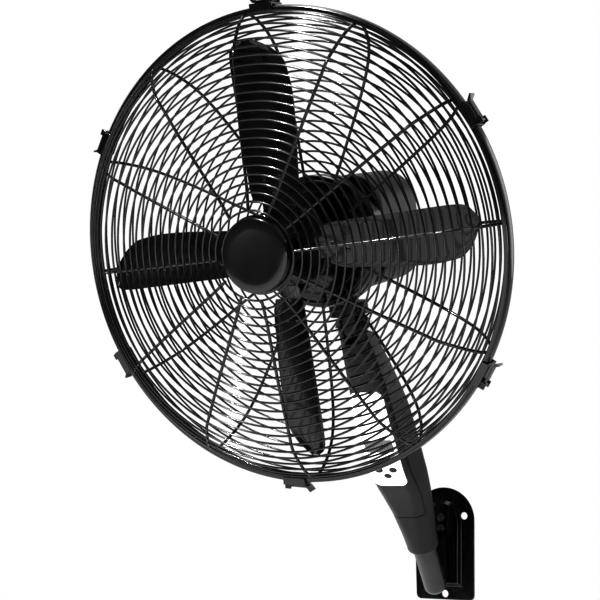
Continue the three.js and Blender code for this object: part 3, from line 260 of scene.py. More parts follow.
def banded(name, colour, gap, metallic, rough, pitch, direction):
    """Stacked sheets or wound wire: fine bands with dark gaps between them."""
    n = Nodes(name)
    wave = n.add("ShaderNodeTexWave", wave_type="BANDS", bands_direction=direction, wave_profile="SIN")
    wave.inputs["Scale"].default_value = pitch
    wave.inputs["Distortion"].default_value = 0.4
    wave.inputs["Detail"].default_value = 2.0
    n.join(n.place, wave.inputs["Vector"])
    bands = wave.outputs["Fac"]
    tone = n.mix(n.spread(n.noise(120, 4), 0.35, 0.7), colour, gap)
    n.set(Base_Color=n.mix(n.spread(bands, 0.0, 0.35), gap, tone), Metallic=metallic)
    n.set(Roughness=n.spread(n.noise(300, 3), 0.3, 0.7, rough * 0.8, rough * 1.2))
    n.set(Normal=n.bump(bands, 0.0002))
    return n.material


def make_board():
    n = Nodes("board_green")
    tracks = n.add("ShaderNodeTexBrick", offset=0.35)
    tracks.inputs["Scale"].default_value = 130.0
    tracks.inputs["Mortar Size"].default_value = 0.06
    greens = {"Color1": (0.02, 0.12, 0.05), "Color2": (0.03, 0.16, 0.07), "Mortar": (0.05, 0.26, 0.12)}
    for key, colour in greens.items():
        tracks.inputs[key].default_value = (*colour, 1.0)
    n.join(n.place, tracks.inputs["Vector"])
    stain = n.spread(n.noise(90, 4), 0.4, 0.7, 0.0, 0.4)
    n.set(Base_Color=n.mix(stain, tracks.outputs["Color"], (0.015, 0.09, 0.04)))
    gloss = n.spread(n.noise(200, 3), 0.3, 0.7, 0.3, 0.45)
    n.set(Roughness=gloss, Normal=n.bump(tracks.outputs["Fac"], 0.00006))
    return n.material


def make_silver():
    """Printed overlay: fine metallic flake under a satin film."""
    n = Nodes("silver_panel")
    flake = n.cells(2600)
    tone = n.mix(n.spread(flake, 0.1, 0.6), (0.86, 0.865, 0.87), (0.70, 0.705, 0.715))
    smudge = n.spread(n.noise(45, 5, 0.6), 0.45, 0.75, 0.0, 0.18)
    n.set(Base_Color=n.mix(smudge, tone, (0.55, 0.55, 0.55)), Metallic=0.25)
    n.set(Roughness=n.spread(n.noise(60, 4), 0.3, 0.7, 0.24, 0.36), Normal=n.bump(flake, 0.00001, 0.5))
    n.set(Coat_Weight=0.3, Coat_Roughness=0.2)
    return n.material


def make_lens():
    n = Nodes("dark_lens")
    haze = n.spread(n.noise(140, 4), 0.4, 0.75)
    n.set(Base_Color=n.mix(haze, (0.018, 0.02, 0.024), (0.05, 0.052, 0.058)))
    gloss = n.spread(n.noise(50, 5, 0.6), 0.35, 0.75, 0.06, 0.2)
    n.set(Roughness=gloss, Normal=n.bump(n.noise(350, 2), 0.000004))
    n.set(Coat_Weight=0.6, Coat_Roughness=0.04)
    return n.material


MATERIALS = {
    "black_enamel": coated("black_enamel", (0.0016, 0.0016, 0.0017), (0.003, 0.003, 0.0033),
                           0.17, 420, 0.000008, coat=0.25, sheen=0.16),
    "satin_black": coated("satin_black", (0.0045, 0.0045, 0.005), (0.0052, 0.0052, 0.0056),
                          0.33, 2600, 0.000012, sheen=0.22),
    "tube_black": coated("tube_black", (0.012, 0.012, 0.013), (0.018, 0.018, 0.0195),
                         0.3, 1500, 0.00002, metallic=0.2, sheen=0.5),
    "button_black": coated("button_black", (0.006, 0.006, 0.006), (0.009, 0.009, 0.0095),
                           0.34, 3200, 0.000014),
    "gear_nylon": coated("gear_nylon", (0.78, 0.77, 0.7), (0.7, 0.68, 0.6),
                         0.4, 1200, 0.00001, dust=0.0),
    "silver_panel": make_silver(),
    "dark_lens": make_lens(),
    "board_green": make_board(),
    "zinc_steel": metal("zinc_steel", (0.62, 0.63, 0.65), (0.42, 0.42, 0.43), 0.34, (1, 1, 1), spots=0.6),
    "bright_steel": metal("bright_steel", (0.72, 0.72, 0.73), (0.52, 0.51, 0.5), 0.2, (1, 0.05, 1)),
    "lamination_steel": banded("lamination_steel", (0.33, 0.34, 0.36), (0.05, 0.05, 0.055),
                               0.8, 0.42, 300, "Y"),
    "copper_wire": banded("copper_wire", (0.62, 0.26, 0.09), (0.09, 0.03, 0.012), 0.9, 0.3, 260, "Z"),
}
HOUSING_GREY = coated("housing_grey", (0.012, 0.012, 0.013), (0.017, 0.017, 0.018),
                      0.42, 2400, 0.000016, sheen=0.35)
BLACKENED = coated("blackened_steel", (0.003, 0.003, 0.003), (0.006, 0.006, 0.006),
                   0.42, 1800, 0.000014)
# Near-black for the slot bars: painted shade where the cooling slots' openings would be dark inside
SLOT_SHADE = coated("painted_slot_shade", (0.004, 0.004, 0.004), (0.006, 0.006, 0.006),
                   0.6, 900, 0.00001, dust=0.0)

slots = {part["node"]: part["material_slot"] for part in frame["record"]["subparts"]}
for node_name, node in nodes.items():
    node.data.materials.clear()
    blackened = node_name.startswith("bracket_bolt")
    node.data.materials.append(BLACKENED if blackened else MATERIALS[slots[node_name]])


# ---------------------------------------------------------------- shapes
def smooth(mesh, angle=35.0):
    """Soft shading across gentle edges, crisp at sharp ones."""
    mesh.polygons.foreach_set("use_smooth", [True] * len(mesh.polygons))
    mesh.set_sharp_from_angle(angle=math.radians(angle))


def build(name, points, faces, place, material, angle=35.0):
    """One closed mesh from local mm points, kept in the row frame with its object at the origin."""
    mesh = bpy.data.meshes.new(name)
    mesh.from_pydata([place @ (Vector(p) * MM) for p in points], [], faces)
    whole = bmesh.new()
    whole.from_mesh(mesh)
    bmesh.ops.remove_doubles(whole, verts=whole.verts, dist=1e-7)
    bmesh.ops.recalc_face_normals(whole, faces=whole.faces)
    whole.to_mesh(mesh)
    whole.free()
    mesh.materials.append(material)
    smooth(mesh, angle)
    made = bpy.data.objects.new(name, mesh)
    bpy.context.scene.collection.objects.link(made)
    return made


def belongs(obj, body, slot, *stands_for):
    """Says which body a piece rides on and the CAD nodes that it stands for, which it hides; the slot
    argument is not used.
    """
    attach(obj, body)
    if stands_for:
        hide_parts(*stands_for)
    return obj


def loft(rings, first_pole=None, last_pole=None, ring_closed=False):
    """Points and faces of a skin over rings with the same number of points."""
    count = len(rings[0])
    points = [p for ring in rings for p in ring]
    faces = []
    for r in range(len(rings) if ring_closed else len(rings) - 1):
        a, b = r * count, ((r + 1) % len(rings)) * count
        for i in range(count):
            j = (i + 1) % count
            faces.append((a + i, a + j, b + j, b + i))
    if not ring_closed:
        for start, pole in ((0, first_pole), ((len(rings) - 1) * count, last_pole)):
            ring = range(start, start + count)
            if pole is None:
                faces.append(tuple(ring))
            else:
                points.append(pole)
                faces += [(k, start + (k - start + 1) % count, len(points) - 1) for k in ring]
    return points, faces


def rounded(outline, radius, steps=5, closed=True):
    """An outline of 2-D points with its corners rounded."""
    result = []
    count = len(outline)
    for i, corner in enumerate(outline):
        if not closed and i in (0, count - 1):
            result.append(tuple(corner))
            continue
        here = Vector(corner)
        before, after = Vector(outline[i - 1]) - here, Vector(outline[(i + 1) % count]) - here
        reach = min(radius, before.length * 0.45, after.length * 0.45)
        a, b = here + before.normalized() * reach, here + after.normalized() * reach
        for k in range(steps + 1):
            t = k / steps
            result.append(tuple(a * (1 - t) ** 2 + here * 2 * t * (1 - t) + b * t ** 2))
    return result


def turned(profile, segments=96, along="depth", closed=True):
    """Skin of a profile of (radius, height) turned about the local depth or arm axis."""
    rings = []
    for radius, height in profile:
        ring = []
        for a in turns(segments):
            x, z = radius * math.cos(a), radius * math.sin(a)
            ring.append((x, -height, z) if along == "depth" else (x, z, height))
        rings.append(ring)
    if closed:
        return loft(rings, ring_closed=True)
    poles = []
    for _, height in (profile[0], profile[-1]):
        poles.append((0, -height, 0) if along == "depth" else (0, 0, height))
    return loft(rings, *poles)


def between(table, position):
    """A row of the table at a position, eased through its neighbours."""
    last = len(table) - 1
    i = max(k for k in range(last) if table[k][0] <= position or k == 0)
    i = min(i, last - 1)
    t = min(1.0, max(0.0, (position - table[i][0]) / (table[i + 1][0] - table[i][0])))
    row = []
    for column in range(1, len(table[0])):
        y0, y1 = table[i][column], table[i + 1][column]
        m0 = slope(table, i, column) * (table[i + 1][0] - table[i][0])
        m1 = slope(table, i + 1, column) * (table[i + 1][0] - table[i][0])
        row.append((2 * t**3 - 3 * t**2 + 1) * y0 + (t**3 - 2 * t**2 + t) * m0
                   + (3 * t**2 - 2 * t**3) * y1 + (t**3 - t**2) * m1)
    return row


def slope(table, i, column):
    """A gentle slope at a table row that never overshoots its neighbours."""
    if i in (0, len(table) - 1):
        return 0.0
    a = (table[i][column] - table[i - 1][column]) / (table[i][0] - table[i - 1][0])
    b = (table[i + 1][column] - table[i][column]) / (table[i + 1][0] - table[i][0])
    return 0.0 if a * b <= 0 else 2 * a * b / (a + b)


def rounded_box(left, right, low, high, low_radius, high_radius, steps=8):
    """Ring of 2-D points with one radius at the low side's corners and one at the high side's."""
    ring = []
    corners = ((right - low_radius, low + low_radius, low_radius, -90),
               (right - high_radius, high - high_radius, high_radius, 0),
               (left + high_radius, high - high_radius, high_radius, 90),
               (left + low_radius, low + low_radius, low_radius, 180))
    for x, y, radius, start in corners:
        for k in range(steps + 1):
            a = math.radians(start + 90 * k / steps)
            ring.append((x + radius * math.cos(a), y + radius * math.sin(a)))
    return ring


def cut(obj, other, operation="DIFFERENCE"):
    """Takes one body from another, or keeps what they share, and leaves a plain mesh."""
    step = obj.modifiers.new("cut", "BOOLEAN")
    step.operation = operation
    step.solver = "EXACT"
    step.object = other
    keep_result(obj)
    bpy.data.objects.remove(other)
    return obj


def keep_result(obj):
    """Turns an object's modifiers into its plain mesh."""
    bpy.context.view_layer.update()
    graph = bpy.context.evaluated_depsgraph_get()
    made = bpy.data.meshes.new_from_object(obj.evaluated_get(graph))
    obj.modifiers.clear()
    old, obj.data = obj.data, made
    made.name = obj.name
    bpy.data.meshes.remove(old)
    return obj


def soften(obj, width, segments=3, angle=40.0):
    """Small rounded edges, with the light falling as on flat faces."""
    edge = obj.modifiers.new("edge", "BEVEL")
    edge.width = width * MM
    edge.segments = segments
    edge.limit_method = "ANGLE"
    edge.angle_limit = math.radians(angle)
    edge.harden_normals = True
    keep_result(obj)
    return obj


def level(obj):
    """Lets the large faces rule the shading, so that flat walls look flat up to their rounded edges."""
    step = obj.modifiers.new("level", "WEIGHTED_NORMAL")
    step.keep_sharp = True
    step.weight = 100
    return keep_result(obj)


def block(name, low, high, place, material):
    xs, ys, zs = zip(low, high)
    points = [(x, y, z) for x in xs for y in ys for z in zs]
    faces = [(0, 1, 3, 2), (4, 6, 7, 5), (0, 4, 5, 1), (2, 3, 7, 6), (0, 2, 6, 4), (1, 5, 7, 3)]
    return build(name, points, faces, place, material)


def rod(name, radius, low, high, axis, middle, place, material, segments=48):
    """A plain cylinder along local x or y, which cuts a hole."""
    rings = []
    for reach in (low, high):
        ring = []
        for a in turns(segments):
            p, q = middle[0] + radius * math.cos(a), middle[1] + radius * math.sin(a)
            ring.append((reach, p, q) if axis == "x" else (p, reach, q))
        rings.append(ring)
    return build(name, *loft(rings), place, material)


def extent(node, place):
    """Lowest and highest local mm corner of a CAD node."""
    inverse = place.inverted()
    local = [inverse @ v.co / MM for v in nodes[node].data.vertices]
    return ([min(p[k] for p in local) for k in range(3)], [max(p[k] for p in local) for k in range(3)])


# ---------------------------------------------------------------- repeated wires and slots
def new_group(name, inputs):
    group = bpy.data.node_groups.new(name, "GeometryNodeTree")
    group.interface.new_socket(name="Geometry", in_out="INPUT", socket_type="NodeSocketGeometry")
    for key, kind in inputs:
        group.interface.new_socket(name=key, in_out="INPUT", socket_type="NodeSocket" + kind)
    group.interface.new_socket(name="Geometry", in_out="OUTPUT", socket_type="NodeSocketGeometry")
    return group


def step(group, kind, links=None, **settings):
    node = group.nodes.new(kind)
    for key, value in settings.items():
        setattr(node, key, value)
    for key, source in (links or {}).items():
        if isinstance(source, bpy.types.NodeSocket):
            group.links.new(source, node.inputs[key])
        else:
            node.inputs[key].default_value = source
    return node


def even_turns(g, count):
    """Rotations about local y that share a full turn out over the points' numbers."""
    number = step(g, "GeometryNodeInputIndex").outputs[0]
    turn = step(g, "ShaderNodeMath", {0: number, 1: 2 * math.pi}, operation="MULTIPLY")
    turn = step(g, "ShaderNodeMath", {0: turn.outputs[0], 1: count}, operation="DIVIDE").outputs[0]
    return step(g, "ShaderNodeCombineXYZ", {"Y": turn}).outputs[0]


def make_guard_group():
    """A guard from one radial profile: rings at even steps along it and radial wires round the axis."""
    g = new_group("guard_wires", [("Rings", "Int"), ("Spokes", "Int"), ("Ring Wire", "Float"),
                                  ("Spoke Wire", "Float"), ("Spoke Offset", "Float"),
                                  ("Ring Sides", "Int"), ("Material", "Material")])
    start = step(g, "NodeGroupInput").outputs
    profile = step(g, "GeometryNodeMeshToCurve", {"Mesh": start["Geometry"]}).outputs["Curve"]
    spots = step(g, "GeometryNodeCurveToPoints", {"Curve": profile, "Count": start["Rings"]},
                 mode="COUNT").outputs["Points"]
    split = step(g, "ShaderNodeSeparateXYZ", {0: step(g, "GeometryNodeInputPosition").outputs[0]})
    kept = step(g, "GeometryNodeCaptureAttribute")
    kept.capture_items.new("FLOAT", "Radius")
    g.links.new(spots, kept.inputs["Geometry"])
    g.links.new(split.outputs["X"], kept.inputs["Radius"])
    middle = step(g, "ShaderNodeCombineXYZ", {"Y": split.outputs["Y"]}).outputs[0]
    centred = step(g, "GeometryNodeSetPosition",
                   {"Geometry": kept.outputs["Geometry"], "Position": middle}).outputs[0]
    circle = step(g, "GeometryNodeCurvePrimitiveCircle",
                  {"Resolution": start["Ring Sides"], "Radius": 1.0}).outputs["Curve"]
    size = step(g, "ShaderNodeCombineXYZ", {k: kept.outputs["Radius"] for k in "XYZ"}).outputs[0]
    rings = step(g, "GeometryNodeInstanceOnPoints", {"Points": centred, "Instance": circle, "Scale": size,
                                                     "Rotation": (math.pi / 2, 0, 0)}).outputs[0]
    rings = step(g, "GeometryNodeRealizeInstances", {"Geometry": rings}).outputs[0]
    ring_section = step(g, "GeometryNodeCurvePrimitiveCircle",
                        {"Resolution": 8, "Radius": start["Ring Wire"]}).outputs["Curve"]
    ring_mesh = step(g, "GeometryNodeCurveToMesh",
                     {"Curve": rings, "Profile Curve": ring_section}).outputs["Mesh"]
    around = even_turns(g, start["Spokes"])
    dots = step(g, "GeometryNodePoints", {"Count": start["Spokes"]}).outputs[0]
    moved = step(g, "ShaderNodeCombineXYZ", {"Y": start["Spoke Offset"]}).outputs[0]
    radial = step(g, "GeometryNodeSetPosition", {"Geometry": profile, "Offset": moved}).outputs[0]
    spokes = step(g, "GeometryNodeInstanceOnPoints",
                  {"Points": dots, "Instance": radial, "Rotation": around}).outputs[0]
    spokes = step(g, "GeometryNodeRealizeInstances", {"Geometry": spokes}).outputs[0]
    spoke_section = step(g, "GeometryNodeCurvePrimitiveCircle",
                         {"Resolution": 10, "Radius": start["Spoke Wire"]}).outputs["Curve"]
    spoke_mesh = step(g, "GeometryNodeCurveToMesh", {"Curve": spokes, "Profile Curve": spoke_section,
                                                     "Fill Caps": True}).outputs["Mesh"]
    both = step(g, "GeometryNodeJoinGeometry")
    g.links.new(ring_mesh, both.inputs[0])
    g.links.new(spoke_mesh, both.inputs[0])
    end_group(g, both.outputs[0], start["Material"])
    return g


def end_group(g, geometry, material):
    """Ends a group with real geometry in its material."""
    soft = step(g, "GeometryNodeSetShadeSmooth", {"Geometry": geometry}).outputs[0]
    real = step(g, "GeometryNodeRealizeInstances", {"Geometry": soft}).outputs[0]
    coloured = step(g, "GeometryNodeSetMaterial", {"Geometry": real, "Material": material}).outputs[0]
    step(g, "NodeGroupOutput", {"Geometry": coloured})


def make_ring_group():
    """The object's own mesh, repeated at even turns round the local depth axis."""
    g = new_group("repeat_round", [("Count", "Int"), ("Material", "Material")])
    start = step(g, "NodeGroupInput").outputs
    around = even_turns(g, start["Count"])
    dots = step(g, "GeometryNodePoints", {"Count": start["Count"]}).outputs[0]
    copies = step(g, "GeometryNodeInstanceOnPoints",
                  {"Points": dots, "Instance": start["Geometry"], "Rotation": around}).outputs[0]
    end_group(g, copies, start["Material"])
    return g


def run_group(obj, group, values, place):
    """Runs a node group on an object at the local origin and moves the plain result into the row frame."""
    made = obj.modifiers.new(group.name, "NODES")
    made.node_group = group
    for item in group.interface.items_tree:
        if item.in_out == "INPUT" and item.name in values:
            made[item.identifier] = values[item.name]
    keep_result(obj)
    obj.data.transform(place)
    obj.data.update()
    return obj


GUARD_GROUP = make_guard_group()
RING_GROUP = make_ring_group()
AT_ORIGIN = Matrix.Identity(4)
ENAMEL = MATERIALS["black_enamel"]
SATIN = MATERIALS["satin_black"]


def eased_line(corners, steps):
    """A smooth line through 2-D corners."""
    return [tuple(catmull(corners, i / steps)) for i in range(steps * (len(corners) - 1) + 1)]


def catmull(corners, position):
    """A point on the Catmull-Rom curve through the corners; whole positions are the corners themselves."""
    i = min(int(position), len(corners) - 2)
    t = position - i
    p1, p2 = Vector(corners[i]), Vector(corners[i + 1])
    p0 = Vector(corners[i - 1]) if i else p1 * 2 - p2
    p3 = Vector(corners[i + 2]) if i + 2 < len(corners) else p2 * 2 - p1
    return (p1 * 2 + (p2 - p0) * t + (p0 * 2 - p1 * 5 + p2 * 4 - p3) * t * t
            + (p1 * 3 - p0 - p2 * 3 + p3) * t**3) / 2


def guard(name, corners, rings, side, stands_for):
    """A wire guard from its radial profile; side is 1 in front and -1 behind."""
    line = eased_line(corners, PROFILE_STEPS) + [(EDGE_WIRE[0], side * EDGE_WIRE[1])]
    mesh = bpy.data.meshes.new(name)
    edges = [(i, i + 1) for i in range(len(line) - 1)]
    mesh.from_pydata([(r * MM, -d * MM, 0) for r, d in line], edges, [])
    obj = bpy.data.objects.new(name, mesh)
    bpy.context.scene.collection.objects.link(obj)
    run_group(obj, GUARD_GROUP, {"Rings": rings + 1, "Spokes": SPOKES,
                                 "Ring Wire": WIRE * MM, "Spoke Wire": SPOKE_WIRE * MM,
                                 "Spoke Offset": side * (WIRE + SPOKE_WIRE) * 0.6 * MM,
                                 "Ring Sides": RING_SIDES, "Material": ENAMEL}, HEAD)
    return belongs(obj, "head", "black_enamel", stands_for)


guard("front_wires", FRONT_GUARD, FRONT_RINGS, 1, "front_guard")
guard("rear_wires", REAR_GUARD, REAR_RINGS, -1, "rear_guard")
rear_plate = rounded([(24, -65.2), (52.5, -65.2), (52.5, -66.8), (24, -66.8)], 0.5)
belongs(build("rear_guard_plate", *turned(rear_plate, 96), HEAD, ENAMEL), "head", "black_enamel")
front_loop = rounded([(27.5, 45.2), (37.5, 45.2), (37.5, 46.8), (27.5, 46.8)], 0.5)
belongs(build("front_guard_plate", *turned(front_loop, 72), HEAD, ENAMEL), "head", "black_enamel")

# Rim band and centre cap
rim = rounded([(RIM_INSIDE, RIM_HALF_WIDTH), (RIM_RADIUS - 0.9, RIM_HALF_WIDTH),
               (RIM_RADIUS, 3), (RIM_RADIUS, -3),
               (RIM_RADIUS - 0.9, -RIM_HALF_WIDTH), (RIM_INSIDE, -RIM_HALF_WIDTH),
               (RIM_INSIDE, -6.6), (228.4, -6.4), (228.4, 6.4), (RIM_INSIDE, 6.6)], 2.2, 6)
belongs(build("rim_shell", *turned(rim, 240), HEAD, ENAMEL, 50), "head", "black_enamel", "rim_band")
cap = [(0.5, CAP_FACE - 0.7), (24, CAP_FACE - 0.5), (31.5, CAP_FACE)]
cap += rounded([(31.5, CAP_FACE), (CAP_RADIUS, CAP_FACE - 0.5), (CAP_RADIUS, 48.2)], 3.2, 8, closed=False)[1:]
cap += [(34.2, 47.6), (33.6, 48.4), (33.6, 52.4), (0.5, CAP_FACE - 2.6)]
cap_shell = build("cap_shell", *turned(cap, 128, closed=False), HEAD, ENAMEL, 50)
belongs(cap_shell, "head", "black_enamel", "centre_cap")


# Wheel
def turned_place(radius, t, turn):
    """Local x and z of a place given along and across a blade that points at an angle."""
    return radius * math.cos(turn) - t * math.sin(turn), radius * math.sin(turn) + t * math.cos(turn)


def blade_depth(across, t):
    """Depth of a blade's middle layer: pitched, and cambered across its width."""
    return BLADE_FORWARD + t * math.tan(BLADE_PITCH) - BLADE_CAMBER * (1 - across * across)


def blade_points(turn):
    """A twisted, cambered sheet with rounded tip; rows run outwards and columns across."""
    rows, columns = 40, 18
    skins = []
    for side in (0.5, -0.5):
        grid = []
        for i in range(rows + 1):
            share = i / rows
            radius = BLADE_ROOT + (BLADE_TIP - BLADE_ROOT) * (1 - (1 - share) ** 1.35)
            lead, trail = between(BLADE_OUTLINE, radius)
            line = []
            for j in range(columns + 1):
                t = lead + (trail - lead) * j / columns
                across = 2 * j / columns - 1
                thinned = 0.45 if j in (0, columns) or i == rows else 1
                line.append((radius, t, blade_depth(across, t) + side * BLADE_SHEET * thinned))
            grid.append(line)
        skins.append(grid)
    points = []
    for grid in skins:
        for line in grid:
            for radius, t, depth in line:
                x, z = turned_place(radius, t, turn)
                points.append((x, -depth, z))
    wide, skin = columns + 1, (columns + 1) * (rows + 1)
    faces = []
    for i in range(rows):
        for j in range(columns):
            a = i * wide + j
            faces.append((a, a + 1, a + wide + 1, a + wide))
            faces.append((skin + a, skin + a + wide, skin + a + wide + 1, skin + a + 1))
    for i in range(rows):
        for a, b in ((i * wide, (i + 1) * wide), (i * wide + columns, (i + 1) * wide + columns)):
            faces.append((a, b, skin + b, skin + a))
    for j in range(columns):
        for a in (j, rows * wide + j):
            faces.append((a, a + 1, skin + a + 1, skin + a))
    return points, faces


def blade_turn(node):
    """Which way a CAD blade points, in the wheel's plane."""
    low, high = extent(node, HEAD)
    angle = math.degrees(math.atan2(low[2] + high[2], low[0] + high[0]))
    return math.radians(round(angle / BLADE_ANGLE_STEP) * BLADE_ANGLE_STEP)


for number in range(1, BLADE_COUNT + 1):
    node = f"blade_{number}"
    fin = build(f"fin_{number}", *blade_points(blade_turn(node)), HEAD, ENAMEL, 60)
    belongs(fin, "wheel", "black_enamel", node)

# Rivets that hold each blade to its arm, one blade's set repeated round the hub
RIVET_RADIUS = 2.6
RIVET_HEIGHT = 1.3
RIVET_PLACES = [(56, 0), (69, -7), (69, 7)]


def dome_rings(radius, height, base, middle, steps=5, segments=20):
    """Rings of a low dome that faces forwards, with its pole in front."""
    rings = [[(middle[0] + radius * math.cos(a), -(base - 1), middle[1] + radius * math.sin(a))
              for a in turns(segments)]]
    for k in range(steps):
        t = math.pi / 2 * k / steps
        rings.append([(middle[0] + radius * math.cos(t) * math.cos(a), -(base + height * math.sin(t)),
                       middle[1] + radius * math.cos(t) * math.sin(a))
                      for a in turns(segments)])
    return rings, (middle[0], -(base + height), middle[1])


def domes(name, radius, height, places, material):
    """Several low domes in one mesh; each place is (x, z, depth of its foot)."""
    points, faces = [], []
    for x, z, base in places:
        rings, pole = dome_rings(radius, height, base, (x, z))
        more, skin = loft(rings, None, pole)
        faces += [tuple(k + len(points) for k in face) for face in skin]
        points += more
    return build(name, points, faces, AT_ORIGIN, material, 50)


first_turn = blade_turn("blade_1")
rivet_feet = []
for radius, t in RIVET_PLACES:
    lead, trail = between(BLADE_OUTLINE, radius)
    across = 2 * (t - lead) / (trail - lead) - 1
    foot = blade_depth(across, t) + BLADE_SHEET / 2
    rivet_feet.append((*turned_place(radius, t, first_turn), foot))
rivets = domes("blade_rivets", RIVET_RADIUS, RIVET_HEIGHT, rivet_feet, MATERIALS["zinc_steel"])
run_group(rivets, RING_GROUP, {"Count": BLADE_COUNT, "Material": ENAMEL}, HEAD)
belongs(rivets, "wheel", "black_enamel")

# Motor: pressed drum in front, moulded housing behind
MOTOR_FACE = -67.7
DRUM_RADIUS = 68
DRUM_BACK = -96
MOTOR_WALL = 3
NOSE_RADIUS = 22
NOSE_FRONT = -57
BEARING_RADIUS = 13
drum = rounded([(BEARING_RADIUS + 0.3, NOSE_FRONT), (NOSE_RADIUS, NOSE_FRONT), (NOSE_RADIUS, MOTOR_FACE)],
               1.2, 4, closed=False)
drum += rounded([(NOSE_RADIUS, MOTOR_FACE), (44, MOTOR_FACE), (46, MOTOR_FACE - 1.6), (50, MOTOR_FACE - 1.6),
                 (52, MOTOR_FACE), (DRUM_RADIUS, MOTOR_FACE), (DRUM_RADIUS, DRUM_BACK)],
                6, 7, closed=False)[1:]
drum += rounded([(DRUM_RADIUS - MOTOR_WALL, DRUM_BACK), (DRUM_RADIUS - MOTOR_WALL, MOTOR_FACE - 4.8),
                 (BEARING_RADIUS + 0.3, MOTOR_FACE - 4.8)], 4, 4, closed=False)
belongs(build("drum_shell", *turned(drum, 144), HEAD, ENAMEL), "head", "black_enamel", "motor_front_shell")

HOUSING_HALF_WIDTH = 66
HOUSING_HALF_HEIGHT = 59
HOUSING_CENTRE_UP = 4
HOUSING_CORNER = 36
HOUSING_BACK = -192
HOUSING_EDGE = 12
HOUSING_WALL = 2.8
SPINDLE_HOLE = 6.8
PAN_DEPTH = -120


def housing_ring(inset, depth):
    corner = max(HOUSING_CORNER - inset, 3)
    outline = rounded_box(-HOUSING_HALF_WIDTH + inset, HOUSING_HALF_WIDTH - inset,
                          HOUSING_CENTRE_UP - HOUSING_HALF_HEIGHT + inset,
                          HOUSING_CENTRE_UP + HOUSING_HALF_HEIGHT - inset, corner, corner, 12)
    return [(x, -depth, z) for x, z in outline]


def housing_side(inset, back):
    """From the joint with the drum, back along the wall and round the rear edge."""
    edge = HOUSING_EDGE - inset
    rows = [(inset, -96.5), (inset, -130), (inset, back + edge)]
    rows += [(inset + edge * (1 - math.cos(a)), back + edge * (1 - math.sin(a)))
             for a in (math.pi / 2 * k / 8 for k in range(1, 9))]
    return [housing_ring(*row) for row in rows + [(inset + edge + 8, back), (46, back)]]


outside = housing_side(0, HOUSING_BACK)
outside[0:1] = [housing_ring(0.9, -96.5), housing_ring(0.25, -96.8), housing_ring(0, -97.5)]
inside = housing_side(HOUSING_WALL, HOUSING_BACK + HOUSING_WALL)
inner_pole = (0, -HOUSING_BACK - HOUSING_WALL, HOUSING_CENTRE_UP)
outer_pole = (0, -HOUSING_BACK, HOUSING_CENTRE_UP)
skin = loft(inside[::-1] + outside, inner_pole, outer_pole)
housing = build("housing_shell", *skin, HEAD, HOUSING_GREY, 50)
below = HOUSING_CENTRE_UP - HOUSING_HALF_HEIGHT
hole = [[(SPINDLE_HOLE * math.cos(a), -PAN_DEPTH + SPINDLE_HOLE * math.sin(a), z) for a in turns(40)]
        for z in (below - 5, below + 8)]
cut(housing, build("hole", *loft(hole), HEAD, HOUSING_GREY))
smooth(housing.data, 50)
level(housing)
belongs(housing, "head", "satin_black", "motor_rear_shell")


# Bars in painted shade that stand for the cooling slots round the rear face, dark as the slots' shaded
# insides: name, from, to, half width, count
REAR_FACE = HEAD @ Matrix.Translation((0, 0, HOUSING_CENTRE_UP * MM))
SLOT_ROWS = [("cooling_slots", 22, 43, 1.5, 28), ("outer_cooling_slots", 46, 48.5, 1.2, 56)]
for name, slot_from, slot_to, half_width, count in SLOT_ROWS:
    low = (slot_from, -HOUSING_BACK - 1.2, -half_width)
    high = (slot_to, -HOUSING_BACK + 0.15, half_width)
    slot_bar = soften(block(name, low, high, AT_ORIGIN, SLOT_SHADE), 0.1, 2)
    run_group(slot_bar, RING_GROUP, {"Count": count, "Material": SLOT_SHADE}, REAR_FACE)
    belongs(slot_bar, "head", "satin_black")

# Screws that hold the housing to the drum
face_screw = domes("drum_screws", 3.4, 1.6, [(42, 42, MOTOR_FACE - 0.1)], BLACKENED)
run_group(face_screw, RING_GROUP, {"Count": 4, "Material": BLACKENED}, HEAD)
belongs(face_screw, "head", "zinc_steel")

# Arm: one smooth outside, parted into the rear shell and the front lid
TILT_ALONG = 369
TILT_FRONT = 10
EAR_RADIUS = 13.5
TONGUE_HALF_WIDTH = 8
SLOT_DEPTH = 13.5
BOLT_HOLE = 4.2
COLLAR_START = 79
LID_START = 131
LID_END = 345
LID_DEPTH = 9
ARM_WALL = 2.5
TUBE_RADIUS = 13.3
SEAM = 0.9


def arm_ring(along, inset=0.0, least=1.0):
    """The arm's outline across at a place along it, rounded off round the tilt bolt."""
    half, front, rear, front_corner, rear_corner = between(ARM_SECTIONS, along)
    if along > TILT_ALONG:
        reach = math.sqrt(max(EAR_RADIUS**2 - (along - TILT_ALONG) ** 2, 9.0))
        front, rear = TILT_FRONT + reach, reach - TILT_FRONT
        front_corner = rear_corner = min(7, reach * 0.8)
    corners = [max(corner - inset, least) for corner in (front_corner, rear_corner)]
    outline = rounded_box(-half + inset, half - inset, -front + inset, rear - inset, *corners, 10)
    return [(x, y, along) for x, y in outline]


def steps_along(low, high, gap):
    count = max(1, round((high - low) / gap))
    return [low + (high - low) * k / count for k in range(count + 1)]


def front_at(along):
    return between(ARM_SECTIONS, along)[1]


rows = [(COLLAR_START, 1.4), (COLLAR_START + 0.4, 0.5), (COLLAR_START + 1.4, 0)]
rows += [(along, 0) for along in steps_along(84, 378, 4)] + [(380.5, 0), (382, 0.6)]
arm = build("arm_outside", *loft([arm_ring(*row) for row in rows]), ARM, SATIN, 40)
hollow = [arm_ring(along, ARM_WALL) for along in steps_along(134, 342, 8)]
cavity = build("arm_cavity", *loft(hollow), ARM, SATIN)
cut(arm, cavity)


def front_block(low, high, depth):
    """Everything in front of a surface that follows the arm's front."""
    rings = []
    for along in steps_along(low, high, 4):
        near = -(front_at(along) - depth)
        rings.append([(-60, -60, along), (60, -60, along), (60, near, along), (-60, near, along)])
    return build("front_block", *loft(rings), ARM, SATIN)


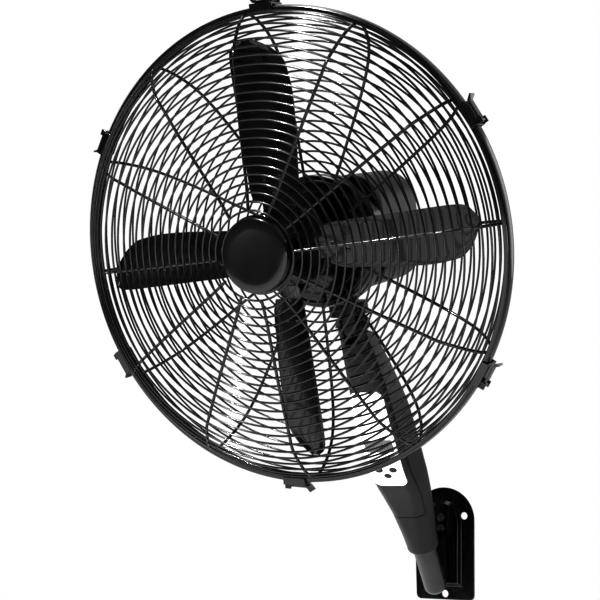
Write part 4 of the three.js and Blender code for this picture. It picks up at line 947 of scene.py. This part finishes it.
lid = arm.copy()
lid.data = arm.data.copy()
lid.name = "arm_lid"
bpy.context.scene.collection.objects.link(lid)
cut(lid, front_block(LID_START + SEAM, LID_END - SEAM, LID_DEPTH - SEAM), "INTERSECT")
arm.name = "arm_case"
cut(arm, front_block(LID_START, LID_END, LID_DEPTH))
tongue_low = TILT_ALONG - SLOT_DEPTH
slot_low = (-TONGUE_HALF_WIDTH - 0.4, -60, tongue_low)
slot_high = (TONGUE_HALF_WIDTH + 0.4, 60, 400)
cut(arm, block("tongue_slot", slot_low, slot_high, ARM, SATIN))
cut(arm, rod("bolt_hole", BOLT_HOLE, -40, 40, "x", (-TILT_FRONT, TILT_ALONG), ARM, SATIN))
bore = [[((TUBE_RADIUS + 0.3) * math.cos(a), (TUBE_RADIUS + 0.3) * math.sin(a), z) for a in turns(64)]
        for z in (COLLAR_START - 5, 150.5)]
cut(arm, build("tube_bore", *loft(bore), ARM, SATIN))

# Panel, window and keys on the lid
# As half width, start, end and corner
PANEL = (20.4, 181, 300, 9)
WINDOW = (17, 227, 242, 2.5)


def plate_along(name, shape, proud, thick, material, grow=0.0):
    """A rounded rectangle that follows the arm's front, with a small rolled edge."""
    half_width, low, high, corner = shape
    half_width, low, high = half_width + grow, low - grow, high + grow
    edges = [corner * (1 - math.cos(math.pi / 2 * k / 8)) for k in range(9)]
    places = [low + e for e in edges] + steps_along(low + corner, high - corner, 6)[1:-1]
    places += [high - e for e in reversed(edges)]
    rings = []
    for along in places:
        near = min(along - low, high - along, corner)
        w = half_width - corner + math.sqrt(max(corner**2 - (corner - near) ** 2, 0.04))
        face = -(front_at(along) + proud)
        roll = 0.0 if thick > 5 else 0.3
        ring = [(-w, face + roll), (-w + roll / 3, face + roll / 3), (-w + roll + 0.05, face)]
        share = 4 if w > 4 else 16
        ring += [(w * k / share, face) for k in range(-3, 4)]
        ring += [(w - roll - 0.05, face), (w - roll / 3, face + roll / 3), (w, face + roll)]
        ring += [(w, face + thick), (-w, face + thick)]
        rings.append([(x, y, along) for x, y in ring])
    return build(name, *loft(rings), ARM, material, 40)


def key_skin(name, grow=0.0, back=4.0):
    """Rings and front pole of an oval key, or of the hole for it where it is grown."""
    low, high = extent(name, ARM)
    middle = [(low[k] + high[k]) / 2 for k in range(3)]
    half_x, half_z = (high[0] - low[0]) / 2 + grow, (high[2] - low[2]) / 2 + grow
    top = low[1] - (10 if grow else 0)
    foot = top + back + (12 if grow else 0)
    shape = [(1.0, foot), (1.0, top + 1.0), (0.97, top + 0.5), (0.88, top + 0.15), (0.6, top)]
    rings = [[(middle[0] + half_x * s * math.cos(a), y, middle[2] + half_z * s * math.sin(a))
              for a in turns(40)] for s, y in shape]
    return rings, (middle[0], top + 0.08, middle[2])


KEYS = [f"button_{k}" for k in range(1, 6)]
panel = plate_along("panel_overlay", PANEL, 0.4, 1.2, MATERIALS["silver_panel"])
cut(lid, plate_along("pocket", PANEL, 10, 10.9, SATIN, 0.25))
window = plate_along("window_lens", WINDOW, 0.7, 1.9, MATERIALS["dark_lens"])
for target in (panel, lid):
    cut(target, plate_along("window_hole", WINDOW, 10, 20, SATIN, 0.25))
for key in KEYS:
    for target in (panel, lid):
        rings, pole = key_skin(key, 0.35)
        cut(target, build("key_hole", *loft(rings, None, pole), ARM, SATIN))
    rings, pole = key_skin(key)
    cap_name = key.replace("button", "key_cap")
    cap_piece = build(cap_name, *loft(rings, None, pole), ARM, MATERIALS["button_black"], 50)
    belongs(cap_piece, key.replace("button", "key"), "button_black", key)
for piece in (arm, lid, panel):
    smooth(piece.data, 35)
    level(piece)
belongs(arm, "wall_arm", "satin_black", "arm_rear_shell")
belongs(lid, "wall_arm", "satin_black", "arm_front_shell")
belongs(panel, "wall_arm", "silver_panel", "control_panel")
belongs(window, "wall_arm", "dark_lens", "display_window")

# Foot tube with its rounded, closed foot
TUBE_FOOT = 15
TUBE_TOP = 149.8
TUBE_WALL = 2
TUBE_ROUND = 8
tube = [(0.5, TUBE_FOOT)]
tube += [(TUBE_RADIUS - TUBE_ROUND * (1 - math.sin(a)), TUBE_FOOT + TUBE_ROUND * (1 - math.cos(a)))
         for a in (math.pi / 2 * k / 10 for k in range(11))]
tube += [(TUBE_RADIUS, TUBE_TOP), (TUBE_RADIUS - TUBE_WALL, TUBE_TOP)]
tube += [(TUBE_RADIUS - TUBE_WALL, TUBE_FOOT + 9), (0.5, TUBE_FOOT + TUBE_WALL)]
tube_leg = build("tube_leg", *turned(tube, 72, "arm", closed=False), ARM, MATERIALS["tube_black"], 40)
belongs(tube_leg, "wall_arm", "tube_black", "foot_tube")

# Wall plate: rolled edge, pressed middle, three holes
PLATE_HALF_WIDTH = 37.2
ARCH_RADIUS = 38.8
ARCH_HEIGHT = 93.6
PLATE_CORNER = 6
PLATE_HOLE = 4.4
PLATE_HOLES = [(-26.1, 98.6), (26.1, 98.6), (0, 6.9)]
PLATE_MIDDLE = 66
# Back and front of the sheet, as inset from the outline and depth
PLATE_ROWS = [(30, -5.0), (20.4, -5.0), (19.2, -4.4), (16.6, -0.5), (15.4, 0), (0.9, 0), (0.2, -0.3),
              (0, -1.0), (0, -1.6), (0.4, -2.1), (1.1, -2.3), (15.2, -2.3), (16.1, -2.5), (16.7, -3.1),
              (18.7, -6.5), (19.3, -7.1), (20.3, -7.3), (30, -7.3)]


def plate_ring(inset, depth):
    """The plate's outline, drawn in by an inset: square foot, tapered sides and arched top."""
    half, radius, low = PLATE_HALF_WIDTH - inset, ARCH_RADIUS - inset, inset
    corner = max(PLATE_CORNER - inset, 1.5)
    ring = [(half - corner + corner * math.cos(a), low + corner + corner * math.sin(a))
            for a in (math.radians(-90 + 90 * k / 6) for k in range(7))]
    ring += [(half + (radius - half) * k / 4, low + corner + (ARCH_HEIGHT - low - corner) * k / 4)
             for k in range(1, 4)]
    ring += [(radius * math.cos(a), ARCH_HEIGHT + radius * math.sin(a))
             for a in (math.pi * k / 40 for k in range(41))]
    ring += [(-half - (radius - half) * k / 4, low + corner + (ARCH_HEIGHT - low - corner) * k / 4)
             for k in range(3, 0, -1)]
    ring += [(-half + corner - corner * math.cos(a), low + corner + corner * math.sin(a))
             for a in (math.radians(-90 * k / 6) for k in range(7))]
    return [(x, depth, z) for x, z in ring]


rings = [plate_ring(*row) for row in PLATE_ROWS]
poles = [(0, depth, PLATE_MIDDLE) for _, depth in (PLATE_ROWS[0], PLATE_ROWS[-1])]
plate = build("plate_pressing", *loft(rings, *poles), WALL, ENAMEL, 50)
for x, z in PLATE_HOLES:
    cut(plate, rod("plate_hole", PLATE_HOLE, -20, 10, "y", (x, z), WALL, ENAMEL))
smooth(plate.data, 50)
level(plate)
belongs(plate, "wall_arm", "black_enamel", "wall_plate")

# Small parts: the width of each one's rolled edge, in mm
ROLLED_EDGES = {"neck": 0.8, "guard_nut": 0.6, "spinner_nut": 0.8, "wheel_hub": 0.3,
                "tilt_bolt": 0.5, "tilt_nut": 0.4, "plate_bracket": 0.5,
                "bracket_bolt_1": 0.5, "bracket_bolt_2": 0.5, "shell_screw_1": 0.3, "shell_screw_2": 0.3}
ROLLED_EDGES.update({f"clip_{k}": 0.5 for k in range(1, 7)})
ROLLED_EDGES.update({f"clip_lever_{k}": 0.5 for k in range(1, 7)})
SMALL_PART_CREASE = 38


def finished_copy(node_name, width):
    """A merged copy of a CAD node, with rolled edges; the node itself stays as it is."""
    mesh = nodes[node_name].data.copy()
    whole = bmesh.new()
    whole.from_mesh(mesh)
    bmesh.ops.remove_doubles(whole, verts=whole.verts, dist=1e-6)
    bmesh.ops.dissolve_limit(whole, angle_limit=math.radians(2), verts=whole.verts, edges=whole.edges)
    whole.to_mesh(mesh)
    whole.free()
    smooth(mesh, SMALL_PART_CREASE)
    made = bpy.data.objects.new(f"{node_name}_finished", mesh)
    bpy.context.scene.collection.objects.link(made)
    soften(made, width, 2, SMALL_PART_CREASE)
    belongs(made, nodes[node_name]["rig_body"], slots[node_name], node_name)


for node_name, width in ROLLED_EDGES.items():
    finished_copy(node_name, width)


# ---------------------------------------------------------------- camera, light, floor
def aim(obj, direction):
    obj.rotation_mode = "QUATERNION"
    obj.rotation_quaternion = Vector(direction).to_track_quat("-Z", "Y")


camera = bpy.data.objects.new("camera", bpy.data.cameras.new("camera"))
bpy.context.scene.collection.objects.link(camera)
camera.location = CAMERA_PLACE
aim(camera, CAMERA_LOOK)
camera.rotation_quaternion = camera.rotation_quaternion @ Quaternion((0, 0, 1), CAMERA_ROLL)
camera.data.lens = CAMERA_LENS
camera.data.sensor_width = 36.0
camera.data.clip_start, camera.data.clip_end = 0.05, 60.0
bpy.context.scene.camera = camera


def softbox(name, place, target, width, height, power):
    light = bpy.data.objects.new(name, bpy.data.lights.new(name, "AREA"))
    bpy.context.scene.collection.objects.link(light)
    light.data.shape = "RECTANGLE"
    light.data.size, light.data.size_y = width, height
    light.data.energy = power
    light.location = place
    aim(light, Vector(target) - Vector(place))


softbox("light_right", (1.35, -1.7, 1.05), (0, -0.4, 0.2), 0.2, 0.9, 7)
softbox("light_left", (-1.7, -1.0, 0.5), (0, -0.35, 0.15), 0.3, 1.4, 17)
softbox("light_key", (-0.5, -2.3, 1.3), (0, -0.35, 0.2), 0.14, 0.14, 230)
softbox("light_top", (-0.2, -0.4, 1.9), (0, -0.3, 0.1), 1.3, 0.5, 26)
softbox("light_low", (1.1, -1.2, -0.2), (0, -0.2, 0.05), 0.3, 0.2, 5)
softbox("light_back", (0.9, 1.3, 0.8), (0, -0.2, 0.1), 0.7, 1.0, 4)

floor_mesh = bpy.data.meshes.new("floor")
disc = [(FLOOR_REACH * math.cos(a), FLOOR_REACH * math.sin(a), FLOOR_HEIGHT) for a in turns(FLOOR_SIDES)]
floor_mesh.from_pydata(disc, [], [tuple(range(FLOOR_SIDES))])
floor = bpy.data.objects.new("floor", floor_mesh)
bpy.context.scene.collection.objects.link(floor)
ground = Nodes("floor")
ground.set(Base_Color=ground.mix(ground.noise(2.5, 3), (0.86, 0.86, 0.86), (0.9, 0.9, 0.9)))
ground.set(Roughness=ground.spread(ground.noise(6, 3), 0.3, 0.7, 0.7, 0.85), Emission_Color=(1.0, 1.0, 1.0),
           Emission_Strength=0.15)
floor_mesh.materials.append(ground.material)

# The camera sees white, as in the photo, while reflections and light come from a darker, graded room
world = bpy.data.worlds.new("studio")
bpy.context.scene.world = world
world.use_nodes = True
sky = world.node_tree
where = sky.nodes.new("ShaderNodeTexCoord")
split = sky.nodes.new("ShaderNodeSeparateXYZ")
ramp = sky.nodes.new("ShaderNodeValToRGB")
sky.links.new(where.outputs["Generated"], split.inputs[0])
sky.links.new(split.outputs["Y"], ramp.inputs[0])
ramp.color_ramp.elements[0].position = 0.05
ramp.color_ramp.elements[0].color = (0.03, 0.03, 0.032, 1)
ramp.color_ramp.elements[1].position = 0.6
ramp.color_ramp.elements[1].color = (0.55, 0.55, 0.55, 1)
ray = sky.nodes.new("ShaderNodeLightPath")
seen = sky.nodes.new("ShaderNodeMix")
seen.data_type = "RGBA"
seen.inputs[7].default_value = (1, 1, 1, 1)
sky.links.new(ray.outputs["Is Camera Ray"], seen.inputs[0])
sky.links.new(ramp.outputs["Color"], seen.inputs[6])
sky.links.new(seen.outputs[2], sky.nodes["Background"].inputs["Color"])
sky.nodes["Background"].inputs["Strength"].default_value = 1.0

# A display gamma under 1 deepens the blacks of the whole picture, to match the photo's
bpy.context.scene.view_settings.view_transform = "Standard"
bpy.context.scene.view_settings.gamma = DISPLAY_GAMMA
